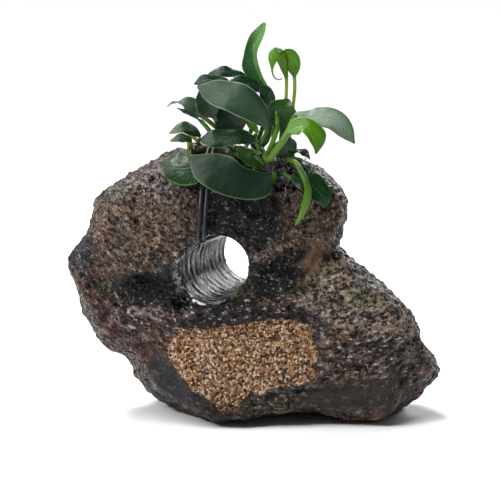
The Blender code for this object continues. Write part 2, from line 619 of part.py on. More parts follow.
def rhizome_frame(along):
    """Centre and run of the creeping stem, so far along it."""
    steps = 40
    run = smooth_run([seen(*place) for place in RHIZOME], steps + 1)
    k = min(int(along * steps), steps - 1)
    centre = run[k].lerp(run[k + 1], along * steps - k)
    return centre, (run[k + 1] - run[k]).normalized()


def growth_start(along, degrees):
    """First two points of a stalk or root, which leaves the creeping stem squarely."""
    centre, run = rhizome_frame(along)
    toward = (-AWAY - run * run.dot(-AWAY)).normalized()
    side = run.cross(toward).normalized()
    if side.z < 0:
        side = -side
    angle = math.radians(degrees)
    out = toward * math.cos(angle) + side * math.sin(angle)
    foot = centre + out * (RHIZOME_RADIUS + GAP)
    return [foot, foot + out * STALK_START]


def leaf_mesh(name, root, stalk, blade, half, face, cup,
              stalk_radius=STALK_RADIUS / MM, rolled=False):
    """One leaf with its stalk, as a single skin that goes from a round stalk to a flat blade."""
    radius = stalk_radius * MM
    blade_points = [seen(*place) for place in blade]
    points = growth_start(*root) + [seen(*place) for place in stalk] + blade_points
    steps = 160
    dense = smooth_run(points, steps + 1)
    base = min(range(steps + 1), key=lambda i: (dense[i] - blade_points[0]).length)
    blade_rings = BLADE_RINGS + len(half) // 2
    stops = [base * i / STALK_RINGS for i in range(STALK_RINGS)]
    stops += [base + (steps - base) * i / (blade_rings - 1) for i in range(blade_rings)]
    faces = [tuple(view_direction(*item)) for item in face]
    frames = []
    for stop in stops:
        k = min(int(stop), steps - 1)
        centre = dense[k].lerp(dense[k + 1], stop - k)
        ahead = dense[min(k + 3, steps)] - dense[max(k - 2, 0)]
        share = max(0.0, (stop - base) / (steps - base))
        side = ahead.cross(Vector(mix_list(faces, share))).normalized()
        normal = side.cross(ahead).normalized()
        if stop < base:
            frames.append((centre, side, normal, radius, radius, radius, 0.0))
            continue
        settle = min(1.0, share / BLADE_SETTLE)
        left, right = (value * GRID for value in mix_list(half, share))
        flat = min(left, right) * ROLLED_THICKNESS if rolled else BLADE_HALF_THICKNESS
        thick = radius + (flat - radius) * settle
        narrowest = radius * (1 - settle) + TIP_RADIUS * settle
        frames.append((centre, side, normal, max(left, narrowest), max(right, narrowest),
                       thick, cup * settle))

    def place_vertex(ring, angle):
        centre, side, normal, left, right, thick, bend = frames[ring]
        across = math.cos(angle)
        width = right if across > 0 else left
        lift = math.sin(angle) * thick + bend * width * across ** 2
        return centre + side * (across * width) + normal * lift

    return ring_tube(name, len(stops), LEAF_SIDES, place_vertex)


def root_mesh(name, root, run, stone_tree):
    """One root, laid on the stone with the gap that keeps the two apart."""
    start = growth_start(*root)
    points = [start[0], start[0].lerp(start[1], 0.5)]
    for place in run:
        hit, normal = stone_tree.find_nearest(seen(*place))[:2]
        points.append(hit + normal * ROOT_LIFT)
    path = smooth_run(points, ROOT_RINGS)
    for point in path[2:]:
        near, normal = stone_tree.find_nearest(point)[:2]
        short = ROOT_LIFT - (point - near).dot(normal)
        if short > 0:
            point += normal * short
    radii = [ROOT_RADIUS * (1.0 - ROOT_TAPER * i / (ROOT_RINGS - 1)) for i in range(ROOT_RINGS)]
    return tube_mesh(name, path, radii, ROOT_SIDES)


def section_points(planes, trees, ceiling):
    """Places (y, z) on the arch over the hole, found by rays in planes of constant x."""
    found = []
    for i in range(1, PROBE_ROWS):
        for way, plane, tree in itertools.product((1.0, -1.0), planes, trees):
            start = Vector((plane, -way * STONE_REACH, ceiling + i * PROBE_STEP))
            hit = tree.ray_cast(start, Vector((0.0, way, 0.0)))[0]
            if hit:
                found.append((hit.y, hit.z))
    for i in range(-PROBE_COLUMNS, PROBE_COLUMNS + 1):
        for plane, tree in itertools.product(planes, trees):
            start = Vector((plane, i * PROBE_STEP, STONE_REACH * 2))
            hit = tree.ray_cast(start, Vector((0.0, 0.0, -1.0)))[0]
            if hit and hit.z > ceiling:
                found.append((hit.y, hit.z))
    depths = [y for y, z in found]
    return found + [(min(depths), ceiling), (max(depths), ceiling)]


def convex_outline(points):
    """Corners of the convex outline of flat points, in order."""
    ordered = sorted(set(points))

    def half_outline(items):
        kept = []
        for item in items:
            while len(kept) > 1 and (
                    (kept[-1][0] - kept[-2][0]) * (item[1] - kept[-2][1])
                    <= (kept[-1][1] - kept[-2][1]) * (item[0] - kept[-2][0])):
                kept.pop()
            kept.append(item)
        return kept[:-1]

    return half_outline(ordered) + half_outline(reversed(ordered))


def tie_path(across, trees):
    """Closed taut path round the arch over the hole, in the plane at one x."""
    axis = hole_axis_point()
    reach = TIE_RADIUS + GAP
    ceiling = axis.z + reach + math.sqrt((HOLE_RADIUS - reach) ** 2 - (across - axis.x) ** 2)
    planes = (across - TIE_RADIUS, across, across + TIE_RADIUS)
    radius = reach / math.cos(math.pi / SWOLLEN_SIDES)
    turns = [math.tau * k / SWOLLEN_SIDES for k in range(SWOLLEN_SIDES)]
    swollen = [(y + radius * math.cos(turn), z + radius * math.sin(turn))
               for y, z in section_points(planes, trees, ceiling) for turn in turns]
    loop = [Vector((across, y, z)) for y, z in convex_outline(swollen)]
    kept = [0]
    for i in range(2, len(loop)):
        start = loop[kept[-1]]
        run = loop[i] - start
        bulge = max((point - start).cross(run.normalized()).length for point in loop[kept[-1] + 1:i])
        if bulge > TIE_SAG or run.length > TIE_LONGEST_STEP:
            kept.append(i - 1)
    return [loop[i] for i in kept] + [loop[-1]]


def build_tie(name, across, trees, group, mat):
    """One closed strand of the tie."""
    path = tie_path(across, trees)
    curve = bpy.data.curves.new(name, "CURVE")
    curve.dimensions = "3D"
    curve.bevel_depth = TIE_RADIUS
    curve.bevel_resolution = 2
    spline = curve.splines.new("POLY")
    spline.points.add(len(path) - 1)
    for point, place in zip(spline.points, path):
        point.co = (*place, 1.0)
    spline.use_cyclic_u = True
    new_object(name, curve, group, mat)


def main():
    clear_scene()
    group = new_collection("anubias_on_stone")
    cutters = new_collection("cutters")
    stone = build_stone(group, cutters, new_material("stone", (0.085, 0.072, 0.066), 0.55))
    rhizome = new_object("rhizome", rhizome_mesh("rhizome"), group,
                         new_material("rhizome", (0.10, 0.11, 0.03), 0.45))
    stone_tree, rhizome_tree = evaluated_tree(stone), evaluated_tree(rhizome)

    for name, shape in LEAVES.items():
        tone, form = shape["tone"], {key: shape[key] for key in shape if key != "tone"}
        new_object(name, leaf_mesh(name, **form), group, new_material(name, *TONES[tone]))
    for name, shape in ROOTS.items():
        new_object(name, root_mesh(name, **shape, stone_tree=stone_tree), group,
                   new_material(name, (0.035, 0.022, 0.03), 0.4))
    middle = hole_axis_point().x + TIE_OFFSET
    apart = TIE_RADIUS + GAP / 2
    for name, across in (("tie_outer", middle - apart), ("tie_inner", middle + apart)):
        build_tie(name, across, (stone_tree, rhizome_tree), group,
                  new_material(name, (0.012, 0.014, 0.016), 0.3))


if __name__ == "__main__":
    main()
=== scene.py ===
"""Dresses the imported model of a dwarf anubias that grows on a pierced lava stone.

The stone, the creeping stem, the roots, the tie and every leaf get a piece of their own over
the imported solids. Places are given as on a drawing of the front: columns and rows of 0.3 mm
squares from its upper left corner, and millimetres behind the plane of the drawing.
"""

import json
import logging
import math
import random
from collections.abc import Callable, Iterator, Sequence
from contextlib import contextmanager
from dataclasses import dataclass, field
from enum import Enum

import bmesh
import bpy
import numpy as np
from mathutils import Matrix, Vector, noise
from mathutils.bvhtree import BVHTree

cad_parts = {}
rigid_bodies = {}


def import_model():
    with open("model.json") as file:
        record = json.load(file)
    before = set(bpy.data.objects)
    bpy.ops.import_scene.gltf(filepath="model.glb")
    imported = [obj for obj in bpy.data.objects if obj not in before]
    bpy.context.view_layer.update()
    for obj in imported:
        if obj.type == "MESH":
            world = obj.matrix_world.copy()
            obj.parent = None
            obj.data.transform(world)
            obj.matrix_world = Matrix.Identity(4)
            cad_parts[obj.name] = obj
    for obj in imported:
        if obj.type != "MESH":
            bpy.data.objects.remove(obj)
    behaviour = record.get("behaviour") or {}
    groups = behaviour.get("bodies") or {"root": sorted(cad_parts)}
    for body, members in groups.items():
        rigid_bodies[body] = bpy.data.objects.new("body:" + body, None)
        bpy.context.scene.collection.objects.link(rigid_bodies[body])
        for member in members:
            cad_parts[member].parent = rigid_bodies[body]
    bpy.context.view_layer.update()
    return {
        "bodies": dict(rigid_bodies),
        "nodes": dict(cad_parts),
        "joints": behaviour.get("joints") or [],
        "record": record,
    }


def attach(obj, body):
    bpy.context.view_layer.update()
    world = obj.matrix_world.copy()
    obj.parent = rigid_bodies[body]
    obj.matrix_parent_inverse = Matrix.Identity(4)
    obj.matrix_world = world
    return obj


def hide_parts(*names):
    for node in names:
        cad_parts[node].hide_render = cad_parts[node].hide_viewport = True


LOG = logging.getLogger("anubias_on_stone")
MM = 0.001
LIGHT = 1.7

Colour = tuple[float, float, float]
Place = tuple[float, float, float]
Pair = tuple[float, float]


def seen_colour(red: int, green: int, blue: int) -> Colour:
    """Turns a colour as it looks in the studio's light, 0 to 255, into the linear one of a shader.

    Args:
        red: Red share.
        green: Green share.
        blue: Blue share.

    Returns:
        The linear colour.
    """
    shares = (value / 255 for value in (red, green, blue))
    linear = (s / 12.92 if s <= 0.04045 else ((s + 0.055) / 1.055) ** 2.4 for s in shares)
    return tuple(value / LIGHT for value in linear)


@dataclass(frozen=True)
class Drawing:
    """The drawing of the front on which places are read.

    Attributes:
        turn: How far round the viewer stands, in radians.
        dip: How far down the viewer looks, in radians.
        distance: From the viewer to the plane of the drawing.
        height: Of the middle of the drawing.
        square: Side of a square of the grid.
        middle: Column and row of the middle.
    """

    turn: float = math.radians(16.0)
    dip: float = math.radians(7.0)
    distance: float = 600 * MM
    height: float = 48.8 * MM
    square: float = 0.3 * MM
    middle: float = 250.0

    @property
    def right(self) -> Vector:
        """Direction of growing columns."""
        return Vector((math.cos(self.turn), math.sin(self.turn), 0.0))

    @property
    def away(self) -> Vector:
        """Direction away from the viewer."""
        flat = math.cos(self.dip)
        return Vector((-math.sin(self.turn) * flat, math.cos(self.turn) * flat, -math.sin(self.dip)))

    @property
    def upward(self) -> Vector:
        """Direction of falling rows."""
        return self.right.cross(self.away)

    @property
    def aim(self) -> Vector:
        """Middle of the drawing."""
        return Vector((0.0, 0.0, self.height))

    def place(self, column: float, row: float, depth: float) -> Vector:
        """Finds the point that is drawn at a place.

        Args:
            column: Column of the grid.
            row: Row of the grid.
            depth: Millimetres behind the plane of the drawing.

        Returns:
            The point in metres.
        """
        behind = depth * MM
        spread = (1.0 + behind / self.distance) * self.square
        across = (column - self.middle) * spread
        up = (self.middle - row) * spread
        return self.aim + self.right * across + self.upward * up + self.away * behind

    def direction(self, across: float, up: float, toward: float) -> Vector:
        """Unit direction given across, up and towards the viewer."""
        return (self.right * across + self.upward * up - self.away * toward).normalized()

    def read(self, points: np.ndarray) -> tuple[np.ndarray, np.ndarray, np.ndarray]:
        """Finds where points are drawn.

        Args:
            points: Points in metres, one a line.

        Returns:
            Their columns, rows and millimetres behind the plane.
        """
        from_aim = points - np.array(self.aim)
        behind = from_aim @ np.array(self.away)
        spread = (1.0 + behind / self.distance) * self.square
        columns = self.middle + from_aim @ np.array(self.right) / spread
        rows = self.middle - from_aim @ np.array(self.upward) / spread
        return columns, rows, behind / MM


DRAWING = Drawing()


def smooth_run(points: Sequence[Vector], count: int) -> list[Vector]:
    """Lays even points on a smooth curve through the given ones.

    Args:
        points: Points that the curve passes.
        count: How many points to return.

    Returns:
        The even points, the first and last given ones among them.
    """
    ends = [points[0] * 2 - points[1], *points, points[-1] * 2 - points[-2]]
    steps, dense = 12, []
    for i in range(1, len(ends) - 2):
        before, start, stop, after = ends[i - 1:i + 3]
        for k in range(steps):
            t = k / steps
            dense.append(0.5 * (
                2 * start + (stop - before) * t
                + (2 * before - 5 * start + 4 * stop - after) * t ** 2
                + (3 * start - before - 3 * stop + after) * t ** 3))
    dense.append(points[-1].copy())
    run = np.array(dense)
    lengths = np.concatenate(([0.0], np.cumsum(np.linalg.norm(np.diff(run, axis=0), axis=1))))
    goals = np.linspace(0.0, lengths[-1], count)
    even = np.stack([np.interp(goals, lengths, run[:, axis]) for axis in range(3)], axis=1)
    return [Vector(point) for point in even]


def blend_rows(rows: Sequence[Sequence[float]], share: float) -> tuple[float, ...]:
    """Reads evenly spaced rows of numbers at a place between 0 and 1, on a smooth curve.

    Args:
        rows: Rows of equal length.
        share: Where to read, 0 at the first row and 1 at the last.

    Returns:
        The numbers at that place.
    """
    if len(rows) == 1:
        return tuple(rows[0])
    at = share * (len(rows) - 1)
    k = min(int(at), len(rows) - 2)
    t = at - k
    before, start, stop, after = (rows[min(max(i, 0), len(rows) - 1)] for i in range(k - 1, k + 3))
    return tuple(
        b + 0.5 * t * (c - a + t * (2 * a - 5 * b + 4 * c - d + t * (3 * (b - c) + d - a)))
        for a, b, c, d in zip(before, start, stop, after))


def ease(value: np.ndarray | float, low: float, high: float) -> np.ndarray | float:
    """Rises smoothly from 0 at low to 1 at high."""
    t = np.clip((value - low) / (high - low), 0.0, 1.0)
    return t * t * (3 - 2 * t)


class Wire:
    """An output of a shader node, on which maths is written as plain expressions."""

    def __init__(self, sheet: "Sheet", socket: bpy.types.NodeSocket) -> None:
        """Keeps the socket and the material that it belongs to."""
        self.sheet, self.socket = sheet, socket

    def __add__(self, other: "Wire | float") -> "Wire":
        """Sum."""
        return self.sheet.sums("ADD", self, other)

    def __sub__(self, other: "Wire | float") -> "Wire":
        """Difference."""
        return self.sheet.sums("SUBTRACT", self, other)

    def __rsub__(self, other: float) -> "Wire":
        """Difference from a number."""
        return self.sheet.sums("SUBTRACT", other, self)

    def __mul__(self, other: "Wire | float") -> "Wire":
        """Product."""
        return self.sheet.sums("MULTIPLY", self, other)

    def __truediv__(self, other: "Wire | float") -> "Wire":
        """Quotient."""
        return self.sheet.sums("DIVIDE", self, other)

    def __pow__(self, other: float) -> "Wire":
        """Power."""
        return self.sheet.sums("POWER", self, other)

    def __abs__(self) -> "Wire":
        """Size without sign."""
        return self.sheet.sums("ABSOLUTE", self)

    __radd__ = __add__
    __rmul__ = __mul__

    def sine(self) -> "Wire":
        """Sine of an angle in radians."""
        return self.sheet.sums("SINE", self)

    def between(self, low: float, high: float) -> "Wire":
        """Rises smoothly from 0 at low to 1 at high, or falls where high is the lower."""
        kind = {"interpolation_type": "SMOOTHSTEP"}
        if high < low:
            return 1 - self.between(high, low)
        return self.sheet.node("ShaderNodeMapRange", kind, {"Value": self, "From Min": low, "From Max": high})

    def clipped(self) -> "Wire":
        """Kept between 0 and 1."""
        return self.sheet.sums("MINIMUM", self.sheet.sums("MAXIMUM", self, 0.0), 1.0)


class Sheet:
    """One material and the nodes drawn on it."""

    def __init__(self, name: str) -> None:
        """Starts a material with nothing but its shader and output."""
        self.material = bpy.data.materials.new(name)
        self.material.use_nodes = True
        self.tree = self.material.node_tree
        self.shader = self.tree.nodes["Principled BSDF"]

    def plug(self, socket: bpy.types.NodeSocket, value: "Wire | float | Sequence[float]") -> None:
        """Links or sets one input.

        Args:
            socket: The input.
            value: A wire, a number, a colour or a vector.
        """
        if isinstance(value, Wire):
            self.tree.links.new(value.socket, socket)
        elif socket.type == "RGBA":
            socket.default_value = (*value, 1.0)
        else:
            socket.default_value = value

    def node(self, kind: str, settings: dict | None = None, inputs: dict | None = None,
             output: int | str = 0) -> Wire:
        """Adds one node.

        Args:
            kind: Type of the node.
            settings: What is set on the node before its inputs; "stops" are a ramp's stops.
            inputs: Values or wires by the name or number of the input.
            output: Name or number of the output that is wanted.

        Returns:
            The wanted output.
        """
        node = self.tree.nodes.new(kind)
        for key, value in (settings or {}).items():
            if key == "stops":
                ramp = node.color_ramp
                while len(ramp.elements) < len(value):
                    ramp.elements.new(0.5)
                for element, (at, colour) in zip(ramp.elements, value):
                    element.position, element.color = at, (*colour, 1.0)
            else:
                setattr(node, key, value)
        for key, value in (inputs or {}).items():
            self.plug(node.inputs[key], value)
        return Wire(self, node.outputs[output])

    def sums(self, operation: str, *values: "Wire | float") -> Wire:
        """Adds a Math node."""
        return self.node("ShaderNodeMath", {"operation": operation}, dict(enumerate(values)))

    def vectors(self, operation: str, *values: "Wire | Sequence[float]") -> Wire:
        """Adds a Vector Math node."""
        return self.node("ShaderNodeVectorMath", {"operation": operation}, dict(enumerate(values)))

    def mixed(self, share: Wire | float, low: Wire | Colour, high: Wire | Colour,
              blend: str = "MIX") -> Wire:
        """Mixes two colours.

        Args:
            share: How much of the second.
            low: First colour.
            high: Second colour.
            blend: Way of mixing.

        Returns:
            The mixed colour.
        """
        return self.node("ShaderNodeMix", {"data_type": "RGBA", "blend_type": blend},
                         {0: share, 6: low, 7: high}, 2)

    def ramp(self, value: Wire, *stops: tuple[float, Colour]) -> Wire:
        """Reads a colour ramp at a value."""
        return self.node("ShaderNodeValToRGB", {"stops": stops}, {0: value})

    def here(self) -> Wire:
        """Place on the object, in metres."""
        return self.node("ShaderNodeTexCoord", output="Object")

    def noise(self, size: float, detail: float = 3.0, rough: float = 0.55, twist: float = 0.0,
              where: Wire | None = None) -> Wire:
        """Soft noise, 0 to 1.

        Args:
            size: Size of its features in metres.
            detail: How many finer layers it has.
            rough: How strong those are.
            twist: How far it is distorted.
            where: Place to read it at; the object's own if left out.

        Returns:
            The value.
        """
        inputs = {"Vector": where or self.here(), "Scale": 1.0 / size, "Detail": detail,
                  "Roughness": rough, "Distortion": twist}
        return self.node("ShaderNodeTexNoise", None, inputs)

    def cells(self, size: float, output: str = "Distance", feature: str = "F1",
              where: Wire | None = None) -> Wire:
        """Cells of a given size in metres, by their distance or their random colour."""
        inputs = {"Vector": where or self.here(), "Scale": 1.0 / size}
        return self.node("ShaderNodeTexVoronoi", {"feature": feature}, inputs, output)

    def grey(self, value: Wire) -> Wire:
        """Turns a number into a grey."""
        return self.node("ShaderNodeCombineXYZ", None, {0: value, 1: value, 2: value})

    def part(self, vector: Wire, axis: str) -> Wire:
        """One part of a vector or of a colour read as one."""
        return self.node("ShaderNodeSeparateXYZ", None, {0: vector}, axis)

    def mark(self, name: str, output: str = "Fac") -> Wire:
        """Reads an attribute of the mesh."""
        return self.node("ShaderNodeAttribute", {"attribute_name": name}, output=output)

    def relief(self, height: Wire, depth: float, strength: float = 1.0) -> Wire:
        """Turns a height of 0 to 1 into a bump so many metres deep."""
        return self.node("ShaderNodeBump", None,
                         {"Height": height, "Distance": depth, "Strength": strength})

    def finish(self, **inputs: "Wire | float | Colour") -> bpy.types.Material:
        """Plugs the shader's inputs, named with _ for a space.

        Returns:
            The finished material.
        """
        for key, value in inputs.items():
            self.plug(self.shader.inputs[key.replace("_", " ")], value)
        return self.material


class Bench:
    """The steps that a maker takes at the screen, as short calls."""

    @staticmethod
    def clear() -> None:
        """Leaves nothing selected, so that the next step acts on one piece alone."""
        if bpy.context.object and bpy.context.object.mode != "OBJECT":
            bpy.ops.object.mode_set(mode="OBJECT")
        bpy.ops.object.select_all(action="DESELECT")

    @staticmethod
    def hold(obj: bpy.types.Object) -> None:
        """Makes one object the active and only selected one."""
        Bench.clear()
        obj.select_set(True)
        bpy.context.view_layer.objects.active = obj

    @staticmethod
    @contextmanager
    def editing(obj: bpy.types.Object) -> Iterator[None]:
        """Holds an object in edit mode with nothing of it selected."""
        Bench.hold(obj)
        bpy.ops.object.mode_set(mode="EDIT")
        bpy.ops.mesh.select_all(action="DESELECT")
        yield
        bpy.ops.object.mode_set(mode="OBJECT")

    @staticmethod
    def pick_points(obj: bpy.types.Object, wanted: Callable[[Vector], bool]) -> None:
        """Selects the points of an edited mesh whose place passes a test."""
        bpy.ops.mesh.select_mode(type="VERT")
        bpy.ops.mesh.select_all(action="DESELECT")
        shape = bmesh.from_edit_mesh(obj.data)
        for point in shape.verts:
            if wanted(point.co):
                point.select = True
        shape.select_flush(True)
        bmesh.update_edit_mesh(obj.data, loop_triangles=False, destructive=False)

    @staticmethod
    def pick_edges(obj: bpy.types.Object, wanted: Callable[[Vector], bool]) -> None:
        """Selects the edges of an edited mesh whose run passes a test."""
        bpy.ops.mesh.select_mode(type="EDGE")
        shape = bmesh.from_edit_mesh(obj.data)
        for edge in shape.edges:
            edge.select_set(wanted(edge.verts[1].co - edge.verts[0].co))
        bmesh.update_edit_mesh(obj.data, loop_triangles=False, destructive=False)

    @staticmethod
    def apply(obj: bpy.types.Object, kind: str, **settings: object) -> None:
        """Gives an object a modifier and applies it.

        Args:
            obj: The object.
            kind: Type of the modifier.
            **settings: Its settings.
        """
        Bench.hold(obj)
        modifier = obj.modifiers.new(kind.lower(), kind)
        for key, value in settings.items():
            setattr(modifier, key, value)
        bpy.ops.object.modifier_apply(modifier=modifier.name)

    @staticmethod
    def rounded(obj: bpy.types.Object, levels: int) -> None:
        """Subdivides an object into a rounder form."""
        Bench.apply(obj, "SUBSURF", levels=levels, render_levels=levels)

    @staticmethod
    def roughened(obj: bpy.types.Object, kind: str, size: float, depth: float, middle: float = 0.5,
                  group: str = "", stops: Sequence[tuple[float, float]] = ()) -> None:
        """Pushes a surface in and out by a texture.

        Args:
            obj: The object.
            kind: Type of the texture.
            size: Size of its features in metres.
            depth: From its lowest to its highest place.
            middle: Value of the texture that stays where it is.
            group: Vertex group that it is kept to.
            stops: Places and greys of a ramp that the texture is read through.
        """
        texture = bpy.data.textures.new(f"{obj.name}_{kind.lower()}", kind)
        texture.noise_scale = size
        if stops:
            texture.use_color_ramp = True
            for element, (at, grey) in zip(texture.color_ramp.elements, stops):
                element.position, element.color = at, (grey, grey, grey, 1.0)
        Bench.apply(obj, "DISPLACE", texture=texture, texture_coords="GLOBAL", strength=depth,
                    mid_level=middle, vertex_group=group)

    @staticmethod
    def tube(name: str, sides: int, rings: int) -> bpy.types.Object:
        """Adds a cylinder of size 1 along Z and cuts its wall into rings.

        Args:
            name: Name of the new object.
            sides: Points on a ring.
            rings: Rings, the two ends among them.

        Returns:
            The tube.
        """
        Bench.clear()
        bpy.ops.mesh.primitive_cylinder_add(vertices=sides, radius=1.0, depth=1.0)
        tube = bpy.context.object
        tube.name = tube.data.name = name
        with Bench.editing(tube):
            Bench.pick_edges(tube, lambda run: abs(run.z) > 0.5)
            bpy.ops.mesh.subdivide(number_cuts=rings - 2)
        return tube

    @staticmethod
    def shape_ring(tube: bpy.types.Object, level: float, reach: float, size: Pair,
                   shift: float = 0.0) -> None:
        """Sizes one ring of an edited tube, and moves it sideways.

        Args:
            tube: The tube, in edit mode.
            level: Height of the ring.
            reach: How far from there its points are looked for.
            size: Factors across and through.
            shift: Way to the side.
        """
        Bench.pick_points(tube, lambda place: abs(place.z - level) < reach)
        bpy.ops.transform.resize(value=(*size, 1.0), center_override=(0.0, 0.0, level))
        if shift:
            bpy.ops.transform.translate(value=(shift, 0.0, 0.0))

    @staticmethod
    def copy_of(node: bpy.types.Object, name: str) -> bpy.types.Object:
        """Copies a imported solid, with its loose triangles joined.

        Args:
            node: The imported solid.
            name: Name of the copy.

        Returns:
            The copy.
        """
        copy = bpy.data.objects.new(name, node.data.copy())
        copy.data.name = name
        bpy.context.scene.collection.objects.link(copy)
        with Bench.editing(copy):
            bpy.ops.mesh.select_all(action="SELECT")
            bpy.ops.mesh.remove_doubles(threshold=0.001 * MM)
        return copy

    @staticmethod
    def outward(obj: bpy.types.Object) -> None:
        """Turns a closed skin the right side out."""
        shape = bmesh.new()
        shape.from_mesh(obj.data)
        inside_out = shape.calc_volume(signed=True) < 0
        shape.free()
        if inside_out:
            with Bench.editing(obj):
                bpy.ops.mesh.select_all(action="SELECT")
                bpy.ops.mesh.flip_normals()

    @staticmethod
    def points_of(obj: bpy.types.Object) -> np.ndarray:
        """Places of an object's points, one a line."""
        places = np.empty(len(obj.data.vertices) * 3)
        obj.data.vertices.foreach_get("co", places)
        return places.reshape(-1, 3)

    @staticmethod
    def put_points(obj: bpy.types.Object, places: np.ndarray) -> None:
        """Moves an object's points to new places."""
        obj.data.vertices.foreach_set("co", np.ascontiguousarray(places, dtype=np.float32).ravel())
        obj.data.update()

    @staticmethod
    def mark(obj: bpy.types.Object, name: str, values: np.ndarray) -> None:
        """Stores a number, vector or colour for each point, for the finish to read."""
        kinds = {1: ("FLOAT", "value"), 3: ("FLOAT_VECTOR", "vector")}
        kind, key = kinds[1 if values.ndim == 1 else values.shape[1]]
        marks = obj.data.attributes.new(name, kind, "POINT")
        marks.data.foreach_set(key, np.ascontiguousarray(values, dtype=np.float32).ravel())

    @staticmethod
    def hand_over(obj: bpy.types.Object, material: bpy.types.Material, slot: str,
                  *nodes: str) -> None:
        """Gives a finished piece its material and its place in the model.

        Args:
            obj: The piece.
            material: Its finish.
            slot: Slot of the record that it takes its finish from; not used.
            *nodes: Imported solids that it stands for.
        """
        obj.data.materials.clear()
        obj.data.materials.append(material)
        Bench.hold(obj)
        bpy.ops.object.shade_smooth()
        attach(obj, "root")
        if nodes:
            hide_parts(*nodes)
        LOG.info("%s: %d faces", obj.name, len(obj.data.polygons))


